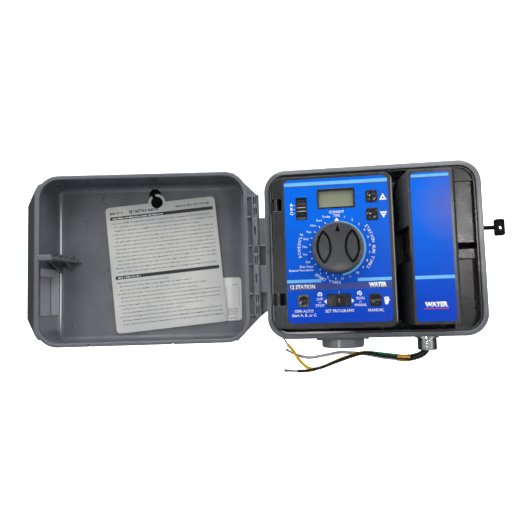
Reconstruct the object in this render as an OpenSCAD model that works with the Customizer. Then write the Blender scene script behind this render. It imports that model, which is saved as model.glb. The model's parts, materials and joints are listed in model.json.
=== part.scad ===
// Outdoor irrigation controller: hinged cabinet, swing-out control panel, key lock and supply wiring.
// Millimetres, +Z up, front faces -Y, origin on the wall face at the centre of the back.

/* [Cabinet] */
// Width across the rim
cab_w = 245; // [220:1:280]
// Height across the rim
cab_h = 197; // [180:1:230]
// Depth of the wall-side base
base_d = 60; // [55:1:75]
// Depth of the door shell
door_d = 50; // [48:1:65]
// How far the door edge stands outside the base rim
door_over = 2.1; // [1:0.1:3]
// Outer corner radius
corner_r = 25; // [15:1:35]
// Wall thickness of the mouldings
wall_t = 3.2; // [2.4:0.1:4]
// Width of the base rim band
rim_w = 5.5; // [5:0.1:8]
// Radius of the long back edges of the base
base_edge_r = 9; // [5:0.5:15]
// Radius of the long front edges of the door
door_edge_r = 11; // [5:0.5:18]

/* [Hinge] */
// Distance from each rim edge to the hinge axis
hinge_off = 11.3; // [9:0.1:16]
// Outer radius of the hinge barrel
barrel_r = 4.75; // [4:0.05:6]
// Hinge pin radius
pin_r = 2; // [1.5:0.05:2.5]
// Radial running clearance of the turning joints
run_c = 0.05; // [0.02:0.01:0.1]
// Angle the door stands open at rest
door_open = 172.6; // [0:0.1:180]
// Half length of the middle door knuckle
knuckle_in = 12; // [10:0.5:16]
// Outer end of the base knuckles
knuckle_mid = 44; // [36:0.5:50]
// Outer end of the barrel
knuckle_out = 71; // [60:0.5:80]

/* [Lock] */
// Depth of the lock axis behind the rim
lock_in = 19; // [17:0.5:21]
// Height of the lock axis
lock_z = 22.5; // [20:0.5:25]
// Vertical travel of the bolt
bolt_travel = 8; // [7:0.5:9]
// Reach of the door catch behind the rim
catch_reach = 25; // [23:0.5:26]

/* [Control panel] */
// Width of the control panel
panel_w = 134.5; // [130:0.5:136]
// Height of the control panel
panel_h = 172; // [165:1:175]
// Centre of the panel from the cabinet centre
panel_x = -44.75; // [-46:0.25:-44]
// How far the panel face stands in front of the rim
panel_proud = 15; // [12:0.5:18]
// Depth of the panel bezel
bezel_d = 27; // [25:0.5:28]
// Thickness of the panel face
face_t = 2.6; // [2:0.1:3]
// Radius of the dial
dial_r = 28.5; // [26:0.5:30]
// Height of the dial
dial_h = 17; // [14:0.5:20]

/* [Services] */
// Radius of the conduit bore in the hub
hub_bore_r = 21.3; // [21:0.1:22]
// Outer radius of the hub
hub_r = 25; // [24:0.1:28]
// Radius of the metal conduit nipple
nipple_r = 10.65; // [10.5:0.05:11]
// Height of the services under the cabinet centre line
nipple_drop = 17; // [14:0.5:22]
// Radius of the wire insulation
wire_r = 1.85; // [1.2:0.05:1.9]

/* [Hidden] */
$fn = 48;
half_w = cab_w / 2;
half_h = cab_h / 2;
door_w = cab_w + 2 * door_over;
door_h = cab_h + 2 * door_over;
door_r = corner_r + door_over;
door_half_w = door_w / 2;
door_half_h = door_h / 2;
rim_y = -base_d;
floor_y = rim_y - door_d + wall_t;
hinge_x = -half_w - hinge_off;
face_y = rim_y - panel_proud;
inner_face_y = face_y + face_t;
bezel_back_y = face_y + bezel_d;
board_y = face_y + 11;
board_t = 1.6;
board_back_y = board_y + board_t;
skin_t = 0.4;
skin_y = face_y - skin_t;
pan_l = panel_x - panel_w / 2;
pan_r = panel_x + panel_w / 2;
swing_x = pan_l + 4;
swing_y = face_y + 5;
swing_pin_r = 1.5;
dial_x = -39.5;
dial_z = 2.6;
lock_y = rim_y + lock_in;
lock_r = 7.5;
hub_nut_r = 24.6;
inner_nut_t = 2.4;
board_fix_x = [-95, 12.5];
board_fix_z = [-75, 75];
liner_gap = rim_w + 0.3;
liner_w = cab_w - 2 * liner_gap;
liner_h = cab_h - 2 * liner_gap;
liner_r = corner_r - liner_gap;
liner_t = 2;
liner_front_y = rim_y + 2.5;
tray_y = -14;
tray_t = 2;
hub_x = -36.5;
nipple_x = 60.5;
port_y = -30;
boss_t = 2.4;
hub_bottom = -half_h - 12;
nipple_bottom = -half_h - nipple_drop;
hole_x = -9;
hole_z = 74.9;
card_tilt = 5;
bolt_x = 101.7;
bolt_t = 3;

// ---- shared shapes ----

module rrect(w, h, r) {
  square([w - 2 * r, h], center = true);
  square([w, h - 2 * r], center = true);
  translate([w / 2 - r, h / 2 - r]) circle(r = r);
  translate([r - w / 2, h / 2 - r]) circle(r = r);
  translate([w / 2 - r, r - h / 2]) circle(r = r);
  translate([r - w / 2, r - h / 2]) circle(r = r);
}

// a flat x-z outline given depth along Y
module yslab(y0, y1) {
  translate([0, y1, 0]) rotate([90, 0, 0]) linear_extrude(height = y1 - y0) children();
}

// a flat x-y outline given height along Z
module zslab(z0, z1) {
  translate([0, 0, z0]) linear_extrude(height = z1 - z0) children();
}

// a flat y-z outline given width along X
module xslab(x0, x1) {
  translate([x0, 0, 0]) rotate([90, 0, 90]) linear_extrude(height = x1 - x0) children();
}

module block(x0, x1, y0, y1, z0, z1) {
  translate([x0, y0, z0]) cube([x1 - x0, y1 - y0, z1 - z0]);
}

module ycyl(x, z, y0, y1, r) {
  translate([x, y1, z]) rotate([90, 0, 0]) cylinder(r = r, h = y1 - y0);
}

module zcyl(x, y, z0, z1, r) {
  translate([x, y, z0]) cylinder(r = r, h = z1 - z0);
}

module xcyl(y, z, x0, x1, r) {
  translate([x0, y, z]) rotate([0, 90, 0]) cylinder(r = r, h = x1 - x0);
}

module plate(x, z, w, h, r, y0, y1) {
  yslab(y0, y1) translate([x, z]) rrect(w, h, r);
}

// rounded tray block: flat at y_flat, long edges rounded on the side towards -Y
module soft_block(w, h, r, y_flat, depth, e) {
  intersection() {
    yslab(y_flat - depth, y_flat) rrect(w, h, r);
    zslab(-h, h) translate([0, y_flat]) rrect(w, 2 * depth, e);
    xslab(-w, w) translate([y_flat, 0]) rrect(2 * depth, h, e);
  }
}

module soft_block_back(w, h, r, y_flat, depth, e) {
  translate([0, y_flat, 0]) mirror([0, 1, 0]) soft_block(w, h, r, 0, depth, e);
}

module at_door() {
  translate([hinge_x, rim_y, 0]) rotate([0, 0, -door_open]) translate([-hinge_x, -rim_y, 0]) children();
}

// ---- cabinet base ----

module base_leaf(z0, z1) {
  zcyl(hinge_x, rim_y, z0, z1, barrel_r);
  block(hinge_x, 1 - half_w, rim_y + 0.3, rim_y + 4.3, z0, z1);
}

module base_slots(z) {
  block(hinge_x - 1.2, hinge_x + 1.2, rim_y - barrel_r - 1, rim_y - 2.5, z - 4.8, z + 4.8);
}

// shaded web behind the barrel, between the knuckles and below them
module base_wing() {
  yslab(rim_y + 9, rim_y + 12) polygon([[hinge_x + 0.5, knuckle_in + 0.5],
    [1 - half_w, knuckle_in + 0.5], [1 - half_w, 7 - knuckle_out],
    [hinge_x - 1.5, -knuckle_out - 3.5], [hinge_x - 1.5, -knuckle_mid],
    [hinge_x + 0.5, -knuckle_mid]]);
}

module base_cabinet() {
  rim_depth = 6;
  color("slategray") difference() {
    union() {
      difference() {
        soft_block_back(cab_w, cab_h, corner_r, rim_y, base_d, base_edge_r);
        soft_block_back(cab_w - 2 * wall_t, cab_h - 2 * wall_t, corner_r - wall_t, rim_y + rim_depth,
          base_d - rim_depth - wall_t, base_edge_r - wall_t);
        plate(0, 0, cab_w - 2 * rim_w, cab_h - 2 * rim_w, corner_r - rim_w,
          rim_y - 1, rim_y + rim_depth + 0.1);
      }
      base_wing();
      base_leaf(knuckle_in + 0.1, knuckle_mid - 0.1);
      base_leaf(0.1 - knuckle_mid, -knuckle_in - 0.1);
      zslab(-half_h - boss_t, -half_h + 1) translate([hub_x - 3.2, port_y]) rrect(55, 52, 8);
      for (sx = [-104, 32]) for (sz = [-80, 80]) ycyl(sx, sz, tray_y + tray_t, -wall_t + 0.5, 4.5);
    }
    zcyl(hinge_x, rim_y, -knuckle_mid - 1, knuckle_mid + 1, pin_r);
    for (s = [-1, 1]) base_slots(s * (knuckle_in + knuckle_mid) / 2);
    zcyl(hub_x, port_y, -half_h - 6, -half_h + wall_t + 1, hub_bore_r + 1.5);
    zcyl(hub_x, port_y, -half_h + wall_t, -half_h + wall_t + 6, hub_nut_r + 0.3);
    zcyl(nipple_x, port_y, -half_h - 1, -half_h + wall_t + 1, nipple_r);
    xcyl(lock_y, lock_z, half_w - wall_t - 1, half_w + 1, lock_r);
    ycyl(0, 74, -wall_t - 1, 1, 5);
    block(-2.6, 2.6, -wall_t - 1, 1, 74, 84);
    ycyl(0, 84, -wall_t - 1, 1, 2.6);
    for (sx = [-80, 80]) ycyl(sx, -60, -wall_t - 1, 1, 2.6);
    for (sx = [-104, 32]) for (sz = [-80, 80]) ycyl(sx, sz, tray_y + tray_t - 1, -wall_t - 1, 1.5);
  }
}

// ---- door ----

// inside of the door: its latch wall leans in and meets the floor in a fillet
module door_cavity() {
  lip = 5;
  lip_t = 4.4;
  in_x = door_half_w - wall_t;
  edge = door_edge_r - wall_t;
  lean_x = 4.6;
  round_x = in_x - lean_x - 0.993 * edge;
  round_y = floor_y + edge;
  intersection() {
    soft_block(door_w - 2 * wall_t, door_h - 2 * wall_t, door_r - wall_t, rim_y - lip,
      door_d - lip - wall_t, edge);
    zslab(-door_h, door_h) {
      polygon([[-door_w, rim_y], [in_x, rim_y], [in_x - lean_x, round_y - 0.114 * edge],
        [round_x, round_y], [round_x, floor_y - 1], [-door_w, floor_y - 1]]);
      translate([round_x, round_y]) circle(r = edge);
    }
  }
  plate(0, 0, door_w - 2 * lip_t, door_h - 2 * lip_t, door_r - lip_t, rim_y - lip - 0.1, rim_y + 3);
}

module door_hinge_wing() {
  edge_x = hinge_x - barrel_r + 0.2;
  gap_z = (knuckle_in + knuckle_mid) / 2;
  gap_half = (knuckle_mid - knuckle_in) / 2 + 0.1;
  difference() {
    yslab(rim_y - 6, rim_y - 3.4) difference() {
      polygon([[14 - half_w, door_half_h - 0.1], [edge_x, knuckle_out - 0.5],
        [edge_x, 0.5 - knuckle_out], [14 - half_w, 0.1 - door_half_h], [22 - half_w, 0]]);
      rrect(door_w - 4, door_h - 4, door_r - 2);
    }
    for (s = [-1, 1]) knuckle_gap(s * gap_z, gap_half);
  }
  for (s = [-1, 1]) for (z = [knuckle_in - 1.2, knuckle_mid + 1.2, knuckle_out - 1])
    block(hinge_x + 3, 1 - half_w, rim_y - 6, rim_y - 0.3, s * z - 1, s * z + 1);
}

// room in the door wing for a base knuckle
module knuckle_gap(z, half) {
  block(hinge_x - barrel_r - 2, hinge_x + 3.7, rim_y - 8, rim_y, z - half, z + half);
  zcyl(hinge_x, rim_y, z - half, z + half, barrel_r + 0.35);
}

module door_knuckle(z0, z1) {
  difference() {
    union() {
      zcyl(hinge_x, rim_y, z0, z1, barrel_r);
      block(hinge_x, hinge_x + 6, rim_y - barrel_r, rim_y - 2.6, z0, z1);
    }
    for (dx = [-1.3, 1.3]) for (f = [0.25, 0.75])
      block(hinge_x + dx - 0.65, hinge_x + dx + 0.65, rim_y + 2.5, rim_y + barrel_r + 1,
        z0 + f * (z1 - z0) - 4.4, z0 + f * (z1 - z0) + 4.4);
  }
}

module latch_wing() {
  out_x = door_half_w + 12;
  corner_x = door_half_w - 3.5;
  corner_z = door_half_h - 9.5;
  intersection() {
    zslab(-door_half_h, door_half_h) polygon([[door_half_w - 30, rim_y - 0.3],
      [door_half_w, rim_y - 0.3], [out_x, rim_y - 7.6], [out_x, rim_y - 10.2],
      [out_x - 2.6, rim_y - 10.2], [door_half_w - 1, rim_y - 3.4], [door_half_w - 30, rim_y - 3.4]]);
    yslab(rim_y - 12, rim_y + 1) difference() {
      polygon([[door_half_w - 20, 6 - door_half_h], [corner_x, -corner_z], [out_x, -67],
        [out_x, 67], [corner_x, corner_z], [door_half_w - 20, door_half_h - 6]]);
      rrect(door_w - 4, door_h - 4, door_r - 2);
    }
  }
}

module door_catch() {
  tip_y = rim_y + catch_reach;
  difference() {
    union() {
      zslab(0, 3) polygon([[86.5, floor_y - 0.5], [118, floor_y - 0.5], [118, rim_y - 30],
        [114.5, rim_y - 12], [112, rim_y], [112, tip_y], [95, tip_y], [94.5, rim_y],
        [91, rim_y - 25]]);
      block(95, 112, tip_y - 3.2, tip_y, -1.5, 4.8);
      xslab(96, 98.4) polygon([[floor_y - 0.5, -10], [floor_y - 0.5, 13], [rim_y - 22, 3],
        [rim_y - 10, 3], [rim_y - 10, 0], [rim_y - 22, 0]]);
      xslab(110, 112.4) polygon([[floor_y - 0.5, -13], [floor_y - 0.5, 13], [rim_y - 8, 3],
        [rim_y - 8, 0]]);
    }
    block(bolt_x - bolt_t / 2 - 0.7, bolt_x + bolt_t / 2 + 0.7, lock_y - 2.8, lock_y + 2.8,
      -3, 6);
  }
}

module door() {
  color("slategray") at_door() difference() {
    union() {
      difference() {
        soft_block(door_w, door_h, door_r, rim_y, door_d, door_edge_r);
        door_cavity();
        plate(0, 40, 150, 44, 5, rim_y - door_d - 1, rim_y - door_d + 0.6);
      }
      door_hinge_wing();
      door_knuckle(knuckle_mid + 0.1, knuckle_out);
      door_knuckle(0.1 - knuckle_in, knuckle_in - 0.1);
      door_knuckle(-knuckle_out, -knuckle_mid - 0.1);
      latch_wing();
      door_catch();
    }
    zcyl(hinge_x, rim_y, -knuckle_out - 1, knuckle_out + 1, pin_r + run_c);
    block(111, door_half_w - 1.6, rim_y - 38, rim_y - 6, -63, -18);
    for (x = [62, -34]) block(x - 1.5, x + 1.5, rim_y - door_d - 1, rim_y + 1,
      -door_half_h - 1, 2.4 - door_half_h);
  }
}

module door_hinge_pin() {
  color("silver") {
    zcyl(hinge_x, rim_y, -knuckle_out - 0.5, knuckle_out + 0.5, pin_r);
    zcyl(hinge_x, rim_y, -knuckle_out - 1.6, -knuckle_out - 0.1, pin_r + 0.8);
  }
}

module card_hook() {
  color("black") at_door() intersection() {
    door_cavity();
    hook_shape();
  }
}

module hook_shape() {
  top_x = -6.7;
  top_z = 84.9;
  post_x = -3.4;
  post_z = 87.1;
  front_y = floor_y + 4.4;
  union() {
    ycyl(top_x, top_z, floor_y, floor_y + 2.2, 7.3);
    ycyl(hole_x, hole_z, floor_y, front_y, 7);
    ycyl(post_x, post_z, floor_y, front_y, 2.2);
    translate([hole_x, 0, hole_z]) rotate([0, -65.3, 0]) block(0, 13.4, front_y - 1, front_y, -2.2, 2.2);
  }
}

module reference_card() {
  y0 = floor_y + 2.4;
  color("white") at_door() translate([hole_x, 0, hole_z]) rotate([0, card_tilt, 0]) difference() {
    union() {
      plate(-3.8, -79.5, 138.8, 159, 5, y0, y0 + 0.8);
      ycyl(0, 0, y0, y0 + 0.8, 10.7);
    }
    ycyl(0, 0, y0 - 1, y0 + 2, 7.4);
  }
}

module wiring_label() {
  color("white") at_door() intersection() {
    door_cavity();
    plate(-70.3, -49.8, 86, 54, 4, floor_y, floor_y + 0.3);
  }
}

// ---- lock ----

module lock_body() {
  color("silver") difference() {
    union() {
      xcyl(lock_y, lock_z, 105.2, half_w + 0.5, lock_r);
      xcyl(lock_y, lock_z, half_w, half_w + 1.8, 10.5);
    }
    xcyl(lock_y, lock_z, 100, half_w + 3, 4.5 + run_c);
  }
}

module lock_nut() {
  color("silver") translate([half_w - wall_t - 4.2, lock_y, lock_z]) rotate([0, 90, 0]) difference() {
    cylinder(r = 9.8, h = 4.2, $fn = 6);
    translate([0, 0, -1]) cylinder(r = lock_r, h = 7);
  }
}

module lock_plug() {
  color("goldenrod") difference() {
    xcyl(lock_y, lock_z, 104.9, half_w + 2.4, 4.5);
    block(half_w - 12, half_w + 4, lock_y - 1.1, lock_y + 1.1, lock_z - 3.1, lock_z + 3.1);
  }
}

module lock_crank() {
  arm = bolt_travel / 2;
  color("silver") {
    xcyl(lock_y, lock_z, 103.4, 104.9, lock_r);
    xcyl(lock_y + arm, lock_z + arm, 99.9, 103.6, 2);
  }
}

module lock_bolt() {
  arm = bolt_travel / 2;
  color("silver") difference() {
    union() {
      block(bolt_x - bolt_t / 2, bolt_x + bolt_t / 2, lock_y - 2.2, lock_y + 10.4,
        lock_z + arm - 4.8, lock_z + arm + 4.8);
      block(bolt_x - bolt_t / 2, bolt_x + bolt_t / 2, lock_y - 2.2, lock_y + 2.2, 6.5, lock_z + arm);
    }
    block(90, 110, lock_y + 1.6, lock_y + 8.2, lock_z + arm - 2.3, lock_z + arm + 2.3);
  }
}

module key() {
  bow_x = half_w + 17.5;
  color("black") difference() {
    union() {
      block(half_w - 11.5, half_w + 3, lock_y - 1, lock_y + 1, lock_z - 3, lock_z + 3);
      xcyl(lock_y, lock_z, half_w + 2.6, bow_x + 2, 2.4);
      plate(bow_x + 5.2, lock_z, 10.8, 19, 2.4, lock_y - 2.3, lock_y + 2.3);
    }
    ycyl(bow_x + 6.2, lock_z - 0.4, lock_y - 4, lock_y + 4, 2.1);
  }
}

// ---- inner chassis ----

module chassis_ports() {
  zcyl(hub_x, port_y, -half_h, -half_h + 13, 20);
  zcyl(nipple_x, port_y, -half_h, -half_h + 10, 8);
  block(-96, -62, tray_y - 1, tray_y + tray_t + 1, -72, -34);
  block(-20, 20, tray_y - 1, tray_y + tray_t + 1, 60, 88);
  block(70, 84, tray_y - 1, tray_y + tray_t + 1, -70, -50);
  block(88, 112, tray_y - 1, tray_y + tray_t + 1, -70, 80);
  block(112.6, half_w, lock_y - 8.8, lock_y + 12, lock_z - 10.2, lock_z + 10.2);
  block(94, 113.5, rim_y + 5, rim_y + 20, -2, 5.5);
  for (s = [-1, 1]) ycyl(62, 10 + s * 29.5, tray_y - 1, tray_y + tray_t + 1, 1.5);
  for (sx = [-104, 32]) for (sz = [-80, 80]) ycyl(sx, sz, tray_y - 1, tray_y + tray_t + 1, 1.9);
}

module side_bay() {
  step_y = rim_y + 5;
  well_y = rim_y + 8.4;
  low_y = rim_y + 13.6;
  wall = 1.6;
  block(86.8, 88.6, step_y, tray_y, -92, 92);
  block(88, 116, step_y, step_y + wall, 77, 92);
  block(88, 116, step_y, well_y + wall, 75.4, 77);
  block(88, 116, well_y, well_y + wall, 5.5, 76);
  block(88, 116, well_y, well_y + 3.2, 5.5, 7);
  block(88, 116, well_y, well_y + wall, -11, -2);
  block(88, 116, well_y, low_y + wall, -12.6, -11);
  block(88, 116, low_y, low_y + wall, -92, -12);
  for (x = [98.3, 103.6]) block(x, x + 1.4, well_y + 1, lock_y + 3, 7, 13.4);
}

module swing_lug(z0, z1) {
  zcyl(swing_x, swing_y, z0, z1, 3.3);
  zslab(z0, z1) polygon([[swing_x + 1, swing_y + 3], [swing_x - 3.2, swing_y - 0.5],
    [-115.4, swing_y + 8], [-115.4, liner_front_y + 14], [-113.2, liner_front_y + 12],
    [-112.8, swing_y + 13]]);
}

module chassis() {
  color("black") difference() {
    union() {
      yslab(liner_front_y, tray_y + tray_t) difference() {
        rrect(liner_w, liner_h, liner_r);
        rrect(liner_w - 2 * liner_t, liner_h - 2 * liner_t, liner_r - liner_t);
      }
      plate(0, 0, liner_w - 0.4, liner_h - 0.4, liner_r - 0.2, tray_y, tray_y + tray_t);
      intersection() {
        plate(0, 0, liner_w - 1, liner_h - 1, liner_r - 0.5, rim_y, 0);
        side_bay();
      }
      block(25, 27, rim_y + 12, tray_y + 0.5, -84, 84);
      swing_lug(49, 61);
      swing_lug(-59, -47);
      for (sx = [-98, 12]) for (sz = [-76, -34]) ycyl(sx, sz, -22.4, tray_y + 0.5, 3);
    }
    chassis_ports();
    zcyl(swing_x, swing_y, -80, 80, swing_pin_r + run_c);
  }
}

module pan_screw(x, z, y_head, y_tip, r) {
  difference() {
    union() {
      ycyl(x, z, y_head, y_head + 1.6, 2 * r);
      ycyl(x, z, y_head + 1, y_tip, r);
    }
    block(x - 0.4, x + 0.4, y_head - 1, y_head + 0.8, z - 1.3 * r, z + 1.3 * r);
    block(x - 1.3 * r, x + 1.3 * r, y_head - 1, y_head + 0.8, z - 0.4, z + 0.4);
  }
}

module chassis_screws() {
  color("silver") for (sx = [-104, 32]) for (sz = [-80, 80])
    pan_screw(sx, sz, tray_y - 1.6, tray_y + 8, 1.5);
}

// ---- control panel shell ----

module panel_hinge_pins() {
  color("silver") for (z = [[42, 68], [-66, -40]]) zcyl(swing_x, swing_y, z[0], z[1], swing_pin_r);
}

module face_openings() {
  plate(dial_x - 0.1, 59.2, 42.6, 23, 1, face_y - 1, inner_face_y + 1);
  plate(-78.7, 49.1, 12.7, 25.6, 1, face_y - 1, inner_face_y + 1);
  for (p = [[-0.2, 59.5], [-0.2, 39.4], [-79.5, -55.2], [-0.7, -56.1]])
    plate(p[0], p[1], 13.4, 14.2, 2.4, face_y - 1, inner_face_y + 1);
  plate(-40.4, -55.5, 26.3, 14.6, 1, face_y - 1, inner_face_y + 1);
  ycyl(dial_x, dial_z, face_y - 1, inner_face_y + 1, 9);
}

module swing_boss(z0, z1) {
  zcyl(swing_x, swing_y, z0, z1, 3.4);
  block(swing_x - 2, swing_x + 5, face_y + 1.8, swing_y + 2, z0, z1);
}

module panel_bezel() {
  flange_x = -98.9;
  color("black") difference() {
    union() {
      difference() {
        plate(panel_x, 0, panel_w, panel_h, 9, face_y, bezel_back_y);
        plate(panel_x, 0, panel_w - 4.4, panel_h - 4.4, 6.8, inner_face_y, bezel_back_y + 1);
      }
      for (z = [[62.3, 68.6], [41.4, 47.7], [-66.6, -60.3], [-45.7, -39.4]]) swing_boss(z[0], z[1]);
      for (x = board_fix_x) for (z = board_fix_z) ycyl(x, z, inner_face_y - 0.5, board_y, 3.2);
      for (x = [-106, 17]) for (z = [-80, 80]) ycyl(x, z, inner_face_y - 0.5, bezel_back_y, 3.4);
    }
    face_openings();
    block(pan_l - 1, flange_x, face_y - 1, face_y + 1.2, -panel_h, panel_h);
    block(pan_l - 1, pan_l + 11, face_y - 1, face_y + 21, 48, 62);
    block(pan_l - 1, pan_l + 13, face_y - 1, face_y + 21, -60, -46);
    zcyl(swing_x, swing_y, -80, 80, swing_pin_r);
    for (x = board_fix_x) for (z = board_fix_z) ycyl(x, z, board_y - 6, board_y + 1, 1.2);
    for (x = [-106, 17]) for (z = [-80, 80]) ycyl(x, z, bezel_back_y - 10, bezel_back_y + 1, 1.2);
  }
}

module panel_back() {
  plate_y = bezel_back_y + 0.05;
  bat_x = -45;
  bat_z = 42;
  color("black") difference() {
    union() {
      plate(panel_x, 0, panel_w - 0.2, panel_h - 0.2, 8.9, plate_y, plate_y + 2);
      plate(bat_x, bat_z, 58, 36, 3, plate_y - 10, plate_y + 10);
    }
    plate(bat_x, bat_z, 50, 28, 1, plate_y - 8.4, plate_y + 11);
    block(bat_x - 27.5, bat_x + 27.5 + 3, plate_y + 8.2, plate_y + 11, bat_z - 16, bat_z + 16);
    plate(-60, -16, 36, 9, 1, plate_y - 1, plate_y + 3);
    for (x = [-106, 17]) for (z = [-80, 80]) ycyl(x, z, plate_y - 1, plate_y + 3, 1.3);
  }
}

module panel_back_screws() {
  color("silver") for (x = [-106, 17]) for (z = [-80, 80])
    translate([x, bezel_back_y + 3.65, z]) mirror([0, 1, 0]) pan_screw(0, 0, 0, 11, 1.2);
}

module panel_overlay() {
  color("royalblue") difference() {
    plate(-39.9, 1.2, 115.6, 162.6, 6, skin_y, face_y);
    plate(dial_x - 0.1, 59.2, 42.4, 22.8, 1, skin_y - 1, face_y + 1);
    plate(-78.7, 49.1, 12.7, 25.6, 1, skin_y - 1, face_y + 1);
    for (p = [[-0.2, 59.5], [-0.2, 39.4], [-79.5, -55.2], [-0.7, -56.1]])
      plate(p[0], p[1], 13.4, 14.2, 2.4, skin_y - 1, face_y + 1);
    plate(-40.4, -55.5, 26.3, 14.6, 1, skin_y - 1, face_y + 1);
    ycyl(dial_x, dial_z, skin_y - 1, face_y + 1, 9);
  }
}

// ---- display and board ----

module lcd_frame() {
  color("black") difference() {
    plate(dial_x - 0.1, 59.2, 42.2, 22.6, 0.8, skin_y - 0.4, face_y + 1.2);
    plate(dial_x - 0.1, 58.8, 38.6, 18.4, 0.6, skin_y - 1, face_y + 2);
  }
}

module lcd_window() {
  color("lightgray") plate(dial_x - 0.1, 59.2, 42.2, 22.6, 0.8, face_y + 1.25, face_y + 2.2);
}

module lcd_panel() {
  color("darkkhaki") union() {
    plate(dial_x - 0.1, 59.2, 46, 27, 0.6, face_y + 3, face_y + 5.6);
    block(dial_x - 20, dial_x + 20, face_y + 5.6, board_y, 46.5, 48.5);
    block(dial_x - 20, dial_x + 20, face_y + 5.6, board_y, 70, 72);
  }
}

module main_board() {
  color("green") difference() {
    plate(-42.5, 0, 113, 156, 1.5, board_y, board_back_y);
    for (x = board_fix_x) for (z = board_fix_z) ycyl(x, z, board_y - 1, board_back_y + 1, 1.7);
  }
}

module board_screws() {
  color("silver") for (x = board_fix_x) for (z = board_fix_z)
    translate([x, board_back_y + 1.6, z]) mirror([0, 1, 0]) pan_screw(0, 0, 0, 8, 1.2);
}

// lens-shaped finger pocket in the dial, shrunk by inset
module dial_lens(side, y0, y1, inset) {
  intersection() {
    ycyl(dial_x + side * 32.4, dial_z, y0, y1, 24.5 - inset);
    ycyl(dial_x - side * 3.2, dial_z, y0, y1, 25.8 - inset);
  }
}

module dial_pocket(side) {
  top_y = skin_y - dial_h;
  difference() {
    dial_lens(side, top_y - 5, top_y + 8, 0);
    dial_lens(side, top_y + 2, top_y + 9, 1.7);
  }
}

module dial_knob() {
  top_y = skin_y - dial_h - 0.5;
  color("black") difference() {
    union() {
      ycyl(dial_x, dial_z, top_y + 1.6, skin_y - 3.1, dial_r - 1);
      ycyl(dial_x, dial_z, top_y, top_y + 2, dial_r - 2.2);
      ycyl(dial_x, dial_z, skin_y - 3.3, skin_y - 0.5, dial_r);
    }
    dial_pocket(-1);
    dial_pocket(1);
    yslab(top_y - 1, top_y + 1)
      polygon([[dial_x, dial_z + 25.5], [dial_x - 2.7, dial_z + 17], [dial_x + 2.7, dial_z + 17]]);
    ycyl(dial_x, dial_z, skin_y - 13, skin_y, 3);
  }
}

module rotary_shaft() {
  color("silver") ycyl(dial_x, dial_z, skin_y - 13, board_y - 2, 3);
}

module rotary_switch() {
  color("dimgray") difference() {
    union() {
      plate(dial_x, dial_z, 27, 27, 2, inner_face_y + 0.6, board_y);
      ycyl(dial_x, dial_z, face_y + 0.4, inner_face_y + 1, 5);
    }
    ycyl(dial_x, dial_z, face_y - 1, board_y - 1.6, 3 + run_c);
  }
}

module push_button(x, z) {
  difference() {
    union() {
      plate(x, z, 12.5, 13.3, 2, skin_y - 0.7, inner_face_y + 0.3);
      plate(x, z, 15.6, 16.4, 2, inner_face_y + 0.2, inner_face_y + 1.4);
      ycyl(x, z, inner_face_y + 1.2, board_y - 5.4, 2.2);
    }
    translate([x, skin_y - 0.7 - 13.2, z]) sphere(r = 14.2);
  }
}

module plus_button() {
  color("black") push_button(-0.2, 59.5);
}

module minus_button() {
  color("black") push_button(-0.2, 39.4);
}

module semi_auto_button() {
  color("black") push_button(-79.5, -55.2);
}

module manual_button() {
  color("black") push_button(-0.7, -56.1);
}

module tact_switches() {
  color("silver") for (p = [[-0.2, 59.5], [-0.2, 39.4], [-79.5, -55.2], [-0.7, -56.1]]) {
    block(p[0] - 3, p[0] + 3, board_y - 3.4, board_y, p[1] - 3, p[1] + 3);
    ycyl(p[0], p[1], board_y - 4.3, board_y - 3, 1.7);
  }
}

module program_slider() {
  color("black") union() {
    plate(-78.7, 47.6, 16, 35, 1, inner_face_y + 1, inner_face_y + 2.4);
    plate(-78.7, 47.6, 11.6, 11.8, 1, skin_y - 1.2, inner_face_y + 1.2);
    for (i = [-5:5]) if (abs(i) > 2) block(-84.4, -73, inner_face_y + 0.1,
      inner_face_y + 1.2, 47.6 + 2.4 * i - 0.6, 47.6 + 2.4 * i + 0.6);
    block(-80.2, -77.2, inner_face_y + 1.6, board_y - 3.2, 46.1, 49.1);
  }
}

module program_switch() {
  color("silver") difference() {
    block(-83.2, -74.2, board_y - 4.8, board_y, 35.6, 59.6);
    block(-80.6, -76.8, board_y - 6, board_y - 1.4, 40.4, 54.8);
  }
}

module function_slider() {
  color("black") union() {
    plate(-40.4, -55.5, 41, 17, 1, inner_face_y + 1, inner_face_y + 2.4);
    plate(-40.4, -55.5, 9.6, 12.8, 0.8, skin_y - 1.2, inner_face_y + 1.2);
    for (i = [-10:10]) if (abs(i) > 3) block(-40.4 + 1.7 * i - 0.5, -40.4 + 1.7 * i + 0.5,
      inner_face_y + 0.1, inner_face_y + 1.2, -61.9, -49.1);
    block(-41.9, -38.9, inner_face_y + 1.6, board_y - 3.2, -57, -54);
  }
}

module function_switch() {
  color("silver") difference() {
    block(-56.4, -24.4, board_y - 4.8, board_y, -60, -51);
    block(-50.8, -30, board_y - 6, board_y - 1.4, -57.4, -53.6);
  }
}

module control_chip() {
  color("black") plate(-20, -20, 14, 14, 0.5, board_back_y, board_back_y + 1.6);
}

module capacitors() {
  color("navy") {
    ycyl(-84, -62, board_back_y, board_back_y + 10.5, 4);
    ycyl(-73, -62, board_back_y, board_back_y + 10.5, 4);
    ycyl(-8, -44, board_back_y, board_back_y + 8, 3.2);
  }
}

module battery() {
  color("dimgray") union() {
    plate(-46, 42, 46, 26.4, 1.5, bezel_back_y - 8.2, bezel_back_y + 8);
    terminal_stud(-22.9, 35.6);
    terminal_stud(-22.9, 48.4);
  }
}

module terminal_stud(x, z) {
  xcyl(bezel_back_y, z, x - 0.3, x + 1.2, 2.6);
}

module battery_snap() {
  color("black") difference() {
    block(-22.9, -20.1, bezel_back_y - 7, bezel_back_y + 7, 29, 55);
    for (z = [35.6, 48.4]) xcyl(bezel_back_y, z, -24, -21.6, 2.6);
  }
}

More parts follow.
